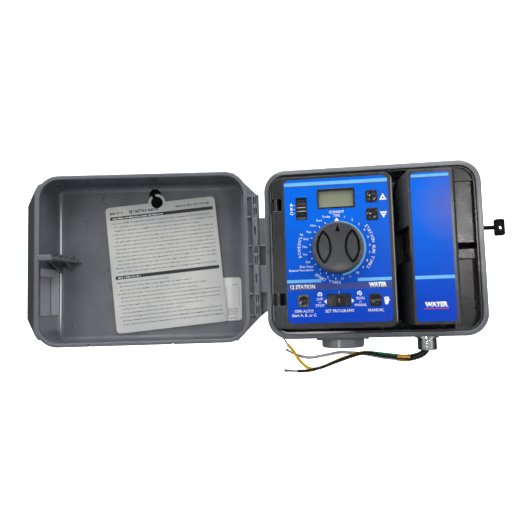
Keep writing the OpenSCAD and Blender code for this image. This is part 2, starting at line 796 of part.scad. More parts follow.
module battery_door() {
  color("black") union() {
    block(-72.3, -16, bezel_back_y + 8.5, bezel_back_y + 10, 26.2, 57.8);
    for (i = [0:4]) block(-66 + 2.2 * i, -65 + 2.2 * i, bezel_back_y + 9.8, bezel_back_y + 10.7, 34, 50);
  }
}

module panel_header() {
  color("dimgray") block(-75, -45, board_back_y, board_back_y + 8, -19, -13);
}

// ribbon runs from the panel header out of the back cover and folds down to the terminal header
module ribbon_cable() {
  y0 = board_back_y + 8;
  y1 = bezel_back_y + 8;
  y2 = -33.3;
  t = 0.9;
  color("lightgray") xslab(-73, -47) union() {
    polygon([[y0, -16.45], [y1, -16.45], [y1 + 2.4, -18.4], [y1 + 2.4, -42], [y2 + 1.2, -46], [y2, -46],
      [y1 + 1.5, -42.4], [y1 + 1.5, -18.8], [y1 - 0.5, -15.55 - t - 0.9], [y0, -15.55 - t - 0.9]]);
  }
}

// ---- terminals and transformer ----

module terminal_board() {
  color("green") difference() {
    plate(-43, -55, 122, 52, 1.5, -24, -22.4);
    for (sx = [-98, 12]) for (sz = [-76, -34]) ycyl(sx, sz, -26, -20, 1.6);
  }
}

module terminal_block() {
  color("darkgreen") difference() {
    block(-94, 8, -36, -24, -74, -62);
    for (i = [0:15]) ycyl(-89.9 + 6.25 * i, -68, -37, -33, 2.3);
    for (i = [0:15]) block(-91.9 + 6.25 * i, -87.9 + 6.25 * i, -30.5, -26, -75, -69);
  }
}

module terminal_screws() {
  color("silver") for (i = [0:15]) difference() {
    ycyl(-89.9 + 6.25 * i, -68, -35.4, -33, 2.1);
    block(-90.2 + 6.25 * i, -89.6 + 6.25 * i, -36, -34.6, -69.6, -66.4);
  }
}

module terminal_header() {
  color("dimgray") block(-75, -45, -32, -24, -49, -43);
}

module transformer_core() {
  cx = 62;
  cz = 10;
  color("dimgray") difference() {
    union() {
      block(cx - 21, cx + 21, -58, -22, cz - 25, cz + 25);
      block(cx - 21, cx + 21, -18, tray_y, cz - 34, cz + 34);
      block(cx - 21, cx + 21, -24, tray_y, cz - 25, cz + 25);
    }
    block(cx - 22, cx + 22, -50, -30, cz - 17, cz - 8);
    block(cx - 22, cx + 22, -50, -30, cz + 8, cz + 17);
    for (s = [-1, 1]) ycyl(cx, cz + s * 29.5, -20, -10, 1.9);
  }
}

module transformer_coil() {
  cx = 62;
  cz = 10;
  color("peru") difference() {
    union() {
      plate(cx, cz, 43.4, 33.6, 3, -49.6, -30.4);
    }
    block(cx - 21.1, cx + 21.1, -60, -20, cz - 8.1, cz + 8.1);
    block(cx - 21.1, cx + 21.1, -60, -20, cz + 17, cz + 30);
    block(cx - 21.1, cx + 21.1, -60, -20, cz - 30, cz - 17);
  }
}

module transformer_screws() {
  color("silver") for (s = [-1, 1]) pan_screw(62, 10 + s * 29.5, -19.6, tray_y + 4, 1.5);
}

// the cover's plan: its left flank leans out, its front hangs over the bay wall
module cover_plan(inset) {
  front_y = rim_y - 25;
  back_y = -20;
  left_x = 38.5;
  right_x = 88.2;
  curl = 0.6 * inset;
  polygon([[31.6 + inset, back_y + inset], [left_x + inset, front_y + 3],
    [left_x + 0.9 + curl, front_y + 0.9 + curl], [left_x + 3, front_y + inset],
    [right_x - 3, front_y + inset], [right_x - 0.9 - curl, front_y + 0.9 + curl],
    [right_x - inset, front_y + 3], [right_x - inset, rim_y + 3.2],
    [86 - inset, rim_y + 4.5], [86 - inset, back_y + inset]]);
}

module transformer_cover() {
  front_y = rim_y - 25;
  color("black") difference() {
    union() {
      difference() {
        intersection() {
          plate(60, 0, 57, 168, 5, front_y, -20);
          zslab(-100, 100) cover_plan(0);
        }
        intersection() {
          plate(60, 0, 60, 164, 3, front_y + 2, -19);
          zslab(-100, 100) cover_plan(2);
        }
      }
      for (z = [-60, 60]) block(84, 86, -21, tray_y - 0.05, z - 6, z + 6);
      for (z = [-60, 60]) block(31.8, 33.8, -21, tray_y - 0.05, z - 6, z + 6);
    }
    block(28, 42.5, front_y + 5, -19, -15, 24);
  }
}

module cover_overlay() {
  color("royalblue") plate(61.6, -0.3, 41.4, 161.3, 5, rim_y - 25 - skin_t, rim_y - 25);
}

// ---- services ----

module conduit_hub() {
  color("slategray") difference() {
    union() {
      zcyl(hub_x, port_y, hub_bottom + 1.5, -half_h - boss_t, hub_r);
      zcyl(hub_x, port_y, hub_bottom, hub_bottom + 1.6, hub_r - 1);
      zcyl(hub_x, port_y, -half_h - boss_t - 0.2, -half_h + wall_t + inner_nut_t, hub_bore_r + 1.5);
    }
    zcyl(hub_x, port_y, hub_bottom - 1, -half_h + wall_t + 9, hub_bore_r);
  }
}

module hub_locknut() {
  color("dimgray") difference() {
    union() {
      zcyl(hub_x, port_y, -half_h + wall_t, -half_h + wall_t + inner_nut_t, hub_nut_r);
    }
    zcyl(hub_x, port_y, -half_h, -half_h + 12, hub_bore_r + 1.5);
  }
}

module conduit_nipple() {
  color("silver") difference() {
    union() {
      zcyl(nipple_x, port_y, nipple_bottom, -half_h + wall_t + inner_nut_t, nipple_r);
      zcyl(nipple_x, port_y, -half_h - 3, -half_h, 13.6);
    }
    zcyl(nipple_x, port_y, nipple_bottom - 1, -half_h + wall_t + 10, nipple_r - 2.3);
  }
}

module nipple_locknut() {
  color("silver") translate([nipple_x, port_y, -half_h + wall_t]) difference() {
    cylinder(r = 15.8, h = inner_nut_t, $fn = 8);
    translate([0, 0, -1]) cylinder(r = nipple_r, h = 6);
  }
}

// ---- wires: round tubes swept along smooth routes ----

function smooth(a, b, c, d, t) = 0.5 * (2 * b + (c - a) * t + (2 * a - 5 * b + 4 * c - d) * t * t
  + (3 * b - a - 3 * c + d) * t * t * t);
function pick(route, i) = route[max(0, min(len(route) - 1, i))];
function along(route, steps) = [for (i = [0:len(route) - 2]) for (k = [0:steps - 1])
  smooth(pick(route, i - 1), route[i], route[i + 1], pick(route, i + 2), k / steps),
  route[len(route) - 1]];
function unit(v) = v / norm(v);
function heading(p, i) = unit(pick(p, i + 1) - pick(p, i - 1));

module tube(route, r, steps, sides) {
  p = along(route, steps);
  n = len(p);
  ring = [for (i = [0:n - 1]) let (t = heading(p, i), u = unit(cross([0, 1, 0], t)), v = cross(t, u))
    for (k = [0:sides - 1]) p[i] + r * (cos(360 * k / sides) * u + sin(360 * k / sides) * v)];
  caps = [[for (k = [0:sides - 1]) sides - 1 - k], [for (k = [0:sides - 1]) (n - 1) * sides + k]];
  skin = [for (i = [0:n - 2]) for (k = [0:sides - 1])
    let (a = i * sides + k, b = i * sides + (k + 1) % sides) [a, b, b + sides, a + sides]];
  polyhedron(points = ring, faces = concat(caps, skin), convexity = 6);
}

module cable_sleeve() {
  color("black") tube([[60.5, -30, -96], [60.2, -30, -110], [57.6, -30, -117.6],
    [50, -30, -122.4], [38, -30, -125.2], [31, -30, -124.9], [26, -30, -124.2]], 3.8, 4, 14);
}

module hot_wire() {
  color("black") tube([[25.8, -32, -124.4], [6, -32.6, -121.4], [-14, -32.6, -118.6],
    [-41, -32.6, -126.4], [-61.5, -32.6, -133.7], [-77, -32.6, -137.7], [-91.5, -32.6, -138.4]],
    wire_r, 5, 10);
  color("silver") tube([[-91.6, -32.6, -138.4], [-99, -32.6, -138.3], [-107.7, -32.6, -137.3]],
    0.9, 2, 8);
}

module neutral_wire() {
  color("white") tube([[25.45, -28.4, -126.2], [8, -27.6, -123.8], [-14, -25, -119.6],
    [-31, -25, -118.2], [-41, -25, -117.8], [-60, -25, -121.1], [-78.4, -25, -123.4],
    [-94.5, -25, -119.6]], wire_r, 5, 10);
  color("silver") tube([[-94.6, -25, -119.5], [-101.8, -25, -115.1], [-105.9, -25, -112.6]],
    0.8, 2, 8);
}

module ground_wire() {
  color("gold") tube([[26, -28.2, -122.2], [6, -28.8, -119.6], [-14, -28.8, -118],
    [-41, -28.8, -125.6], [-61.5, -28.8, -134.4], [-77, -28.8, -136], [-88.7, -28.8, -126.8],
    [-95.5, -28.8, -116], [-102.8, -28.8, -107]], wire_r, 5, 10);
  color("silver") tube([[-102.9, -28.8, -106.9], [-105.6, -28.8, -102], [-108.2, -28.8, -97.1]],
    0.8, 2, 8);
}

// ---- the assembly ----

base_cabinet();
door();
door_hinge_pin();
lock_body();
lock_nut();
lock_plug();
lock_crank();
lock_bolt();
key();
card_hook();
reference_card();
wiring_label();
chassis();
chassis_screws();
panel_hinge_pins();
panel_bezel();
panel_back();
panel_back_screws();
panel_overlay();
lcd_frame();
lcd_window();
lcd_panel();
main_board();
board_screws();
dial_knob();
rotary_shaft();
rotary_switch();
plus_button();
minus_button();
semi_auto_button();
manual_button();
tact_switches();
program_slider();
program_switch();
function_slider();
function_switch();
control_chip();
capacitors();
battery();
battery_snap();
battery_door();
panel_header();
ribbon_cable();
terminal_board();
terminal_block();
terminal_screws();
terminal_header();
transformer_core();
transformer_coil();
transformer_screws();
transformer_cover();
cover_overlay();
conduit_hub();
hub_locknut();
conduit_nipple();
nipple_locknut();
cable_sleeve();
hot_wire();
neutral_wire();
ground_wire();
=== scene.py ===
import json
import math
import random

import bmesh
import bpy
from mathutils import Matrix, Vector


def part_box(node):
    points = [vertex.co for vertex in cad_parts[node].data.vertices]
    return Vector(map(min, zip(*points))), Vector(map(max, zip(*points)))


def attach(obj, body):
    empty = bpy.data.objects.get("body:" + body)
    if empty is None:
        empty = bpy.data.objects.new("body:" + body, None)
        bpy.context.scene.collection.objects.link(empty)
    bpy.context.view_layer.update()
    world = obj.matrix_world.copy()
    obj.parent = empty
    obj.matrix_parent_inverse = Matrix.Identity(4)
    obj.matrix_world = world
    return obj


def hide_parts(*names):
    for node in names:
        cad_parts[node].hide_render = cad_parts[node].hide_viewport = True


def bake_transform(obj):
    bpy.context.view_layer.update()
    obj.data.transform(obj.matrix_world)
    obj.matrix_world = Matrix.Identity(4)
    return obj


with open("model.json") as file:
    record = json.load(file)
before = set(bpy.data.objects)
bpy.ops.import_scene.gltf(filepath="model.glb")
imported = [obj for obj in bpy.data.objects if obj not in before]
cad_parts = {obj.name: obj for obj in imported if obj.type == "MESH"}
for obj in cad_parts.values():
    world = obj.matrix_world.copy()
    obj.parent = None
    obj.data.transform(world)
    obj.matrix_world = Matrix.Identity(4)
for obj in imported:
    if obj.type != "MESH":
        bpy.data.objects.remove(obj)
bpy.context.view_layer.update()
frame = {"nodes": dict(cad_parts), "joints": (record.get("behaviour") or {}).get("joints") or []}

NODES = frame["nodes"]
MM = 0.001
DOOR_OPEN_DEG = 172.6


# -------- colours

def srgb(r, g, b):
    """An 0..255 display colour as linear light."""
    def lin(c):
        c /= 255
        return c / 12.92 if c <= 0.04045 else ((c + 0.055) / 1.055) ** 2.4
    return (lin(r), lin(g), lin(b), 1.0)


GREY = srgb(98, 101, 107)
GREY_DARK = srgb(86, 89, 95)
# pale grey for wear, also used for painted edge highlights
GREY_WEAR_AND_HIGHLIGHT = srgb(168, 171, 174)
BLACK = srgb(15, 16, 19)
BLACK_SOFT = srgb(24, 26, 30)
# pale black for wear, also used for painted edge highlights and painted glints
BLACK_WEAR_AND_HIGHLIGHT = srgb(116, 117, 120)
FILM_BLUE = srgb(0, 100, 220)
FILM_DEEP = srgb(6, 66, 188)
FILM_VIOLET = srgb(54, 66, 176)
SKY = srgb(102, 184, 236)
NAVY = srgb(34, 58, 142)
WHITE = srgb(240, 242, 244)
INK = srgb(28, 29, 32)
OLIVE = srgb(120, 126, 98)
OLIVE_DARK = srgb(98, 104, 80)
PAPER = srgb(184, 185, 185)


# -------- materials

class Mat:
    """A node material under construction."""

    def __init__(self, name):
        self.mat = bpy.data.materials.new(name)
        self.mat.use_nodes = True
        self.tree = self.mat.node_tree
        self.tree.nodes.clear()
        self.out = self.add("ShaderNodeOutputMaterial")
        self.bsdf = self.add("ShaderNodeBsdfPrincipled")
        self.link(self.bsdf.outputs["BSDF"], self.out.inputs["Surface"])
        self.coord = self.add("ShaderNodeTexCoord").outputs["Object"]

    def add(self, kind, inputs=(), **props):
        """A node with its properties, then its inputs, filled in."""
        node = self.tree.nodes.new(kind)
        for key, value in props.items():
            setattr(node, key, value)
        for key, value in dict(inputs).items():
            self.put(node.inputs[key], value)
        return node

    def link(self, a, b):
        self.tree.links.new(a, b)

    def put(self, target, value):
        """value is a socket or a constant."""
        if isinstance(value, bpy.types.NodeSocket):
            self.link(value, target)
        else:
            target.default_value = value

    def set(self, name, value):
        self.put(self.bsdf.inputs[name], value)

    def math(self, op, a, b=0.0):
        return self.add("ShaderNodeMath", {0: a, 1: b}, operation=op).outputs[0]

    def times(self, a, b):
        return self.math("MULTIPLY", a, b)

    def mapped(self, scale, rot=(0, 0, 0)):
        """The part frame's coordinates, scaled and turned."""
        turned = {"Vector": self.coord, "Scale": scale, "Rotation": rot}
        return self.add("ShaderNodeMapping", turned).outputs[0]

    def noise(self, scale, detail=3.0, rough=0.5, vector=None):
        given = {"Vector": vector or self.coord, "Scale": scale, "Detail": detail, "Roughness": rough}
        return self.add("ShaderNodeTexNoise", given).outputs["Fac"]

    def cells(self, scale):
        given = {"Vector": self.coord, "Scale": scale}
        return self.add("ShaderNodeTexVoronoi", given, feature="F1").outputs["Distance"]

    def bands(self, direction, scale, distortion):
        given = {"Vector": self.coord, "Scale": scale, "Distortion": distortion}
        wave = self.add("ShaderNodeTexWave", given, wave_type="BANDS", bands_direction=direction)
        return wave.outputs["Fac"]

    def ramp(self, value, lo, hi, out_lo=0.0, out_hi=1.0):
        given = {"Value": value, "From Min": lo, "From Max": hi, "To Min": out_lo, "To Max": out_hi}
        return self.add("ShaderNodeMapRange", given, clamp=True).outputs["Result"]

    def mix(self, fac, a, b):
        node = self.add("ShaderNodeMix", {"Factor": fac, "A": a, "B": b}, data_type="RGBA")
        return next(o for o in node.outputs if o.type == "RGBA")

    def axis(self, letter):
        return self.add("ShaderNodeSeparateXYZ", {0: self.coord}).outputs[letter]

    def dot(self, a, b):
        return self.add("ShaderNodeVectorMath", {0: a, 1: b}, operation="DOT_PRODUCT").outputs["Value"]

    def facing(self, direction):
        """How far the surface is turned to a direction in the part frame."""
        return self.dot(self.add("ShaderNodeTexCoord").outputs["Normal"], direction)

    def soft_edges(self, radius):
        """(normal rounded over sharp edges, mask of those edges)."""
        rounded = self.add("ShaderNodeBevel", {"Radius": radius}, samples=6).outputs[0]
        flat = self.add("ShaderNodeNewGeometry").outputs["Normal"]
        return rounded, self.ramp(self.dot(rounded, flat), 0.995, 0.86)

    def bump(self, height, strength, distance, normal=None):
        given = {"Height": height, "Strength": strength, "Distance": distance}
        if normal is not None:
            given["Normal"] = normal
        return self.add("ShaderNodeBump", given).outputs[0]

    def uneven(self, scale, lo, hi):
        """Roughness that wanders between two values."""
        self.set("Roughness", self.ramp(self.noise(scale, 3.0), 0.3, 0.7, lo, hi))

    def skin(self, scale, detail, strength, distance):
        """Fine even texture over the whole surface."""
        self.set("Normal", self.bump(self.noise(scale, detail), strength, distance))

    def inside(self, limits, mask):
        """mask, kept only between (low, high, fade) limits along the named axes."""
        for letter, (lo, hi, fade) in limits.items():
            mask = self.times(mask, self.ramp(self.axis(letter), lo - fade, lo + fade))
            mask = self.times(mask, self.ramp(self.axis(letter), hi + fade, hi - fade))
        return mask

    def crevice(self, distance):
        """How open the surface is within a distance: low in corners and grooves."""
        return self.add("ShaderNodeAmbientOcclusion", {"Distance": distance}, samples=6).outputs["AO"]


def moulded(name, base, low, wear_and_highlight, rough=0.5, grain=0.0007, depth=0.00004, edge=0.0006, wear=0.5,
            coat=0.0, crevice_shade=0.0, scratches=0.10, shine=0.5, grain_glints=0.0, patches=()):
    """Injection-moulded plastic: leather grain, cloudy tint, scuffs, paler edges that are partly wear
    and partly painted highlight, painted shade in crevices, painted glints on the grain and painted
    patches of light and shade.
    """
    m = Mat(name)
    cloud = m.noise(22.0, 4.0, 0.55)
    colour = m.mix(m.ramp(cloud, 0.36, 0.66), low, base)
    normal, rim = m.soft_edges(edge)
    patchy = m.ramp(m.noise(95.0, 5.0, 0.62), 0.30, 0.70, 0.35, 1.0)
    # paler edges: partly wear, partly painted highlight along the edges
    wear_and_highlight_mask = m.times(m.times(rim, patchy), wear)
    colour = m.mix(wear_and_highlight_mask, colour, wear_and_highlight)
    hair = m.noise(90.0, 2.0, 0.4, vector=m.mapped((1.0, 0.4, 14.0), (0.4, 0.7, 0.5)))
    scuff = m.times(m.ramp(hair, 0.69, 0.75), scratches)
    colour = m.mix(scuff, colour, wear_and_highlight)
    # painted shade, darker where the surface is closed in by corners, grooves and nearby parts
    if crevice_shade:
        closed_in = m.ramp(m.crevice(0.009), 0.62, 0.15)
        crevice_shade_mask = m.times(closed_in, m.ramp(cloud, 0.3, 0.7, 0.7, 1.0))
        crevice_shade_colour = tuple(0.16 * c for c in low[:3]) + (1.0,)
        colour = m.mix(m.times(crevice_shade_mask, crevice_shade), colour, crevice_shade_colour)
    # painted glints speckled over the grain
    if grain_glints:
        glint = m.times(m.ramp(m.noise(950.0, 2.0), 0.50, 0.72), grain_glints)
        colour = m.mix(glint, colour, wear_and_highlight)
    # painted highlights and painted shade, each kept to one area
    for facing, turn, limits, tint, amount in patches:
        turned = m.times(m.ramp(m.facing(facing), turn[0], turn[1]), amount)
        colour = m.mix(m.inside(limits, turned), colour, tint)
    m.set("Base Color", colour)
    m.set("Specular IOR Level", shine)
    wavy = m.ramp(m.noise(40.0, 4.0, 0.6), 0.3, 0.7, rough - 0.09, rough + 0.09)
    m.set("Roughness", m.math("ADD", wavy, m.times(wear_and_highlight_mask, 0.12)))
    skin = m.math("ADD", m.cells(1.0 / grain), m.times(m.noise(0.7 / grain, 3.0), 0.8))
    m.set("Normal", m.bump(skin, 0.55, depth, normal))
    m.set("Coat Weight", coat)
    m.set("Coat Roughness", 0.25)
    return m.mat


def metal(name, base, dark, rough=0.3, streak=(1.0, 1.0, 30.0), uneven=1.0, bright=None):
    """Plated metal: brushed streaks, dull patches and pits; given a bright direction, painted shade on
    the sides turned away from it leaves a painted highlight where it faces it.
    """
    m = Mat(name)
    brushed = m.noise(120.0, 4.0, 0.6, vector=m.mapped(streak))
    dull = m.ramp(m.noise(160.0, 4.0, 0.6), 0.42, 0.68, 0.0, uneven)
    colour = m.mix(dull, base, dark)
    # painted shade away from the bright direction, painted highlight towards it
    if bright:
        painted_shade_colour = tuple(0.28 * c for c in dark[:3]) + (1.0,)
        colour = m.mix(m.ramp(m.facing(bright), 0.72, 0.985), painted_shade_colour, colour)
    m.set("Base Color", m.mix(m.times(m.ramp(brushed, 0.45, 0.7), 0.35), colour, dark))
    m.set("Metallic", 1.0)
    m.set("Roughness", m.ramp(brushed, 0.3, 0.7, rough - 0.08, rough + 0.14))
    normal = m.soft_edges(0.0003)[0]
    m.set("Normal", m.bump(brushed, 0.3, 0.00003 * uneven, normal))
    return m.mat


def film(name, x_box, z_box, painted_sheen=None):
    """Back-printed blue film: vertical gradient, violet cast, fine texture, hairline scratches."""
    m = Mat(name)
    z = m.ramp(m.axis("Z"), z_box[0], z_box[1])
    x = m.ramp(m.axis("X"), x_box[0], x_box[1])
    drift = m.math("ADD", z, m.times(m.noise(9.0, 2.0), 0.45))
    colour = m.mix(m.ramp(drift, 0.25, 0.95), FILM_DEEP, FILM_BLUE)
    slant = m.math("SUBTRACT", m.math("ADD", x, m.noise(7.0, 2.0)), m.times(z, 0.25))
    colour = m.mix(m.ramp(slant, 0.95, 1.55, 0.0, 0.22), colour, FILM_VIOLET)
    # painted reflection: a violet sheen fading out around a point
    if painted_sheen:
        centre, radius, amount = painted_sheen
        far = m.add("ShaderNodeVectorMath", {0: m.coord, 1: centre}, operation="DISTANCE")
        near = m.ramp(far.outputs["Value"], radius, 0.0, 0.0, amount)
        colour = m.mix(near, colour, srgb(120, 104, 150))
    hair = m.noise(70.0, 2.0, 0.4, vector=m.mapped((0.5, 1.0, 16.0), (0.2, 0.9, 0.1)))
    scratch = m.ramp(hair, 0.70, 0.75, 0.0, 0.02)
    m.set("Base Color", m.mix(scratch, colour, WHITE))
    m.uneven(60.0, 0.34, 0.46)
    m.set("Specular IOR Level", 0.07)
    m.skin(2600.0, 2.0, 0.25, 0.00002)
    return m.mat


def ink(name, base, rough=0.45, fade=0.12):
    """Screen-printed ink: slight mottling and wear."""
    m = Mat(name)
    low = tuple(c * (1 - fade) for c in base[:3]) + (1.0,)
    m.set("Base Color", m.mix(m.ramp(m.noise(260.0, 3.0), 0.35, 0.65), low, base))
    m.uneven(90.0, rough - 0.06, rough + 0.06)
    m.skin(2600.0, 2.0, 0.2, 0.00001)
    return m.mat


def sheet(name, base, rough=0.4, coat=0.2):
    """Printed card stock: fibre mottling, faint yellowing and handling marks."""
    m = Mat(name)
    tired = srgb(206, 205, 198)
    colour = m.mix(m.ramp(m.noise(16.0, 4.0), 0.40, 0.75), base, tired)
    smudge = m.ramp(m.noise(55.0, 4.0, 0.65), 0.62, 0.74, 0.0, 0.18)
    m.set("Base Color", m.mix(smudge, colour, srgb(176, 177, 176)))
    m.uneven(70.0, rough - 0.08, rough + 0.1)
    m.skin(1500.0, 4.0, 0.25, 0.00002)
    m.set("Coat Weight", coat)
    m.set("Coat Roughness", 0.3)
    return m.mat


def board(name):
    """Solder-masked circuit board with darker mask over copper tracks and bright pads."""
    m = Mat(name)
    mask_green, track_green, pad = srgb(20, 92, 58), srgb(34, 122, 78), srgb(196, 190, 160)
    upright = m.mapped((1, 1, 1), (math.radians(90), 0, 0))
    lanes = m.add("ShaderNodeTexBrick", {"Vector": upright, "Scale": 90.0, "Mortar Size": 0.06})
    tracks = m.times(lanes.outputs["Fac"], m.ramp(m.noise(30.0, 2.0), 0.45, 0.55))
    colour = m.mix(tracks, mask_green, track_green)
    pads = m.ramp(m.cells(260.0), 0.16, 0.12)
    some = m.ramp(m.noise(60.0, 1.0), 0.56, 0.60)
    pad_mask = m.times(pads, some)
    m.set("Base Color", m.mix(pad_mask, colour, pad))
    m.set("Metallic", m.times(pad_mask, 0.8))
    m.uneven(80.0, 0.28, 0.42)
    m.set("Normal", m.bump(m.math("ADD", tracks, pad_mask), 0.5, 0.00006))
    return m.mat


def laminated(name):
    """Stacked transformer laminations."""
    m = Mat(name)
    stripe = m.bands("X", 320.0, 0.6)
    rust = m.ramp(m.noise(90.0, 5.0, 0.65), 0.56, 0.70)
    colour = m.mix(m.ramp(stripe, 0.2, 0.8), srgb(50, 51, 54), srgb(112, 112, 114))
    m.set("Base Color", m.mix(rust, colour, srgb(98, 66, 44)))
    m.set("Metallic", m.math("SUBTRACT", 0.85, m.times(rust, 0.6)))
    m.uneven(70.0, 0.38, 0.6)
    m.set("Normal", m.bump(stripe, 0.6, 0.00008))
    return m.mat


def tape_wrap(name, base, dark):
    """Layered adhesive tape over a winding."""
    m = Mat(name)
    turns = m.bands("Z", 55.0, 2.5)
    m.set("Base Color", m.mix(m.ramp(turns, 0.3, 0.7), dark, base))
    m.uneven(80.0, 0.22, 0.4)
    m.set("Normal", m.bump(turns, 0.5, 0.0001))
    return m.mat


def insulated(name, colour_of, bare_x, rough=0.38, soil=0.3):
    """Wire insulation, with a tinned end where x is below bare_x."""
    m = Mat(name)
    bare = m.math("LESS_THAN", m.axis("X"), bare_x)
    cover = m.mix(m.ramp(m.noise(300.0, 3.0), 0.45, 0.75, 0.0, soil), colour_of(m), srgb(96, 96, 92))
    tinned = m.mix(m.ramp(m.noise(900.0, 2.0), 0.4, 0.6), srgb(150, 148, 144), srgb(92, 90, 88))
    m.set("Base Color", m.mix(bare, cover, tinned))
    m.set("Metallic", bare)
    m.uneven(200.0, rough - 0.1, rough + 0.1)
    m.skin(700.0, 3.0, 0.3, 0.00004)
    return m.mat


def glass(name):
    m = Mat(name)
    smear = m.noise(30.0, 4.0, 0.6)
    m.set("Base Color", m.mix(m.ramp(smear, 0.4, 0.7), srgb(196, 202, 176), srgb(214, 218, 200)))
    m.set("Alpha", m.ramp(smear, 0.3, 0.7, 0.10, 0.17))
    m.set("Roughness", m.ramp(smear, 0.3, 0.7, 0.06, 0.16))
    m.set("Coat Weight", 0.6)
    m.set("Coat Roughness", 0.05)
    return m.mat


def display(name):
    """Reflective display: olive polariser, with painted shade darker towards the top."""
    m = Mat(name)
    shade = m.ramp(m.axis("Z"), 0.049, 0.067)
    colour = m.mix(shade, OLIVE, OLIVE_DARK)
    m.set("Base Color", m.mix(m.ramp(m.noise(400.0, 2.0), 0.4, 0.6, 0.0, 0.25), colour, OLIVE_DARK))
    m.uneven(50.0, 0.35, 0.5)
    m.skin(3000.0, 2.0, 0.2, 0.00001)
    return m.mat


def ground_colour(m):
    """Green near the sleeve, yellow towards the bare end, with a thin stripe of the other."""
    along = m.ramp(m.axis("X"), -0.030, -0.002)
    stripe = m.ramp(m.noise(60.0, 1.0, vector=m.mapped((0.4, 3.0, 3.0))), 0.56, 0.60)
    yellow, green = srgb(240, 194, 16), srgb(32, 138, 82)
    return m.mix(stripe, m.mix(along, yellow, green), m.mix(along, yellow, srgb(190, 170, 30)))


def patch(facing, turn, tint, amount, **limits):
    """A painted highlight or painted shade on a plastic.

    facing is the direction it faces and turn how far the surface must be turned to it (from, fully).
    limits are (low, high, fade) in metres along X, Y or Z.
    """
    return facing, turn, limits, tint, amount


BEZEL_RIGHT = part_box("panel_bezel")[1].x
# white of the painted highlight on the door's fillet
FILLET_HIGHLIGHT_WHITE = srgb(250, 251, 252)
FLANK_LIGHT_GREY = srgb(128, 132, 138)
DOOR_PATCHES = (
    # painted reflection on the recess in the latch wall, and paler painted light on the wall below it
    patch((0.8, -0.6, 0), (0.45, 0.58), srgb(188, 187, 198), 0.75, X=(-0.420, -0.3858, 0.0001),
          Y=(-0.0868, -0.0480, 0.0004), Z=(-0.0632, -0.0080, 0.0008)),
    patch((1, 0, 0), (0.5, 0.8), srgb(176, 177, 182), 0.35, X=(-0.420, -0.3858, 0.0001),
          Z=(-0.0830, -0.0640, 0.0030)),
    # painted highlight along the fillet between that wall and the floor of the door
    patch((0.62, -0.785, 0), (0.995, 0.9995), FILLET_HIGHLIGHT_WHITE, 0.9, X=(-0.405, -0.370, 0.0005),
          Y=(-0.060, 0.010, 0.001), Z=(-0.076, 0.068, 0.012)),
    # painted shade on the latch wing
    patch((0, -1, 0), (0.3, 0.5), srgb(52, 56, 58), 0.95, X=(-0.420, -0.3925, 0.0004)),
)
RIM_PATCHES = (
    # painted highlight along the top of the rim
    patch((0, -0.6, 0.8), (0.5, 0.6), srgb(196, 200, 202), 0.22, Z=(0.0940, 0.120, 0.0008),
          Y=(-0.062, -0.048, 0.002)),
)
LINER_PATCHES = (
    # painted highlights along the lower and left lips of the chassis
    patch((0, -0.7, 0.7), (0.6, 0.7), srgb(250, 250, 250), 1.0, Z=(-0.0945, -0.0890, 0.0004),
          Y=(-0.0590, -0.0440, 0.0020), X=(-0.104, -0.040, 0.020)),
    patch((0.7, -0.7, 0), (0.6, 0.7), srgb(196, 198, 200), 0.6, X=(-0.1180, -0.1143, 0.0003),
          Y=(-0.0590, -0.0500, 0.0020), Z=(-0.080, 0.070, 0.015)),
)
BEZEL_PATCHES = (
    # painted highlight along the right edge of the bezel
    patch((0.7, -0.7, 0), (0.6, 0.75), srgb(200, 202, 206), 0.5,
          X=(BEZEL_RIGHT - 0.0012, BEZEL_RIGHT + 0.001, 0.0003)),
)
COVER_PATCHES = (
    # painted light on the left flank of the cover, fainter below
    patch((-1, 0, 0), (0.5, 0.8), FLANK_LIGHT_GREY, 0.45, Z=(-0.010, 0.100, 0.003)),
    patch((-1, 0, 0), (0.5, 0.8), FLANK_LIGHT_GREY, 0.12, Z=(-0.100, -0.016, 0.003)),
)
HUB_PATCHES = (
    # painted highlight: a thin upright line down the hub
    patch((-0.229, -0.973, 0), (0.9975, 0.9995), srgb(214, 216, 218), 0.7),
)
KNOB_PATCHES = (
    # warm painted highlight near the bottom of the dial's face
    patch((0, -1, 0), (0.5, 0.8), srgb(190, 176, 150), 0.20, Z=(-0.0215, -0.0180, 0.0030),
          X=(-0.0460, -0.0320, 0.0060)),
)
SHELL = {"rough": 0.34, "grain": 0.0009, "depth": 0.00002, "edge": 0.0026, "wear": 0.34, "coat": 0.15,
         "crevice_shade": 0.8}

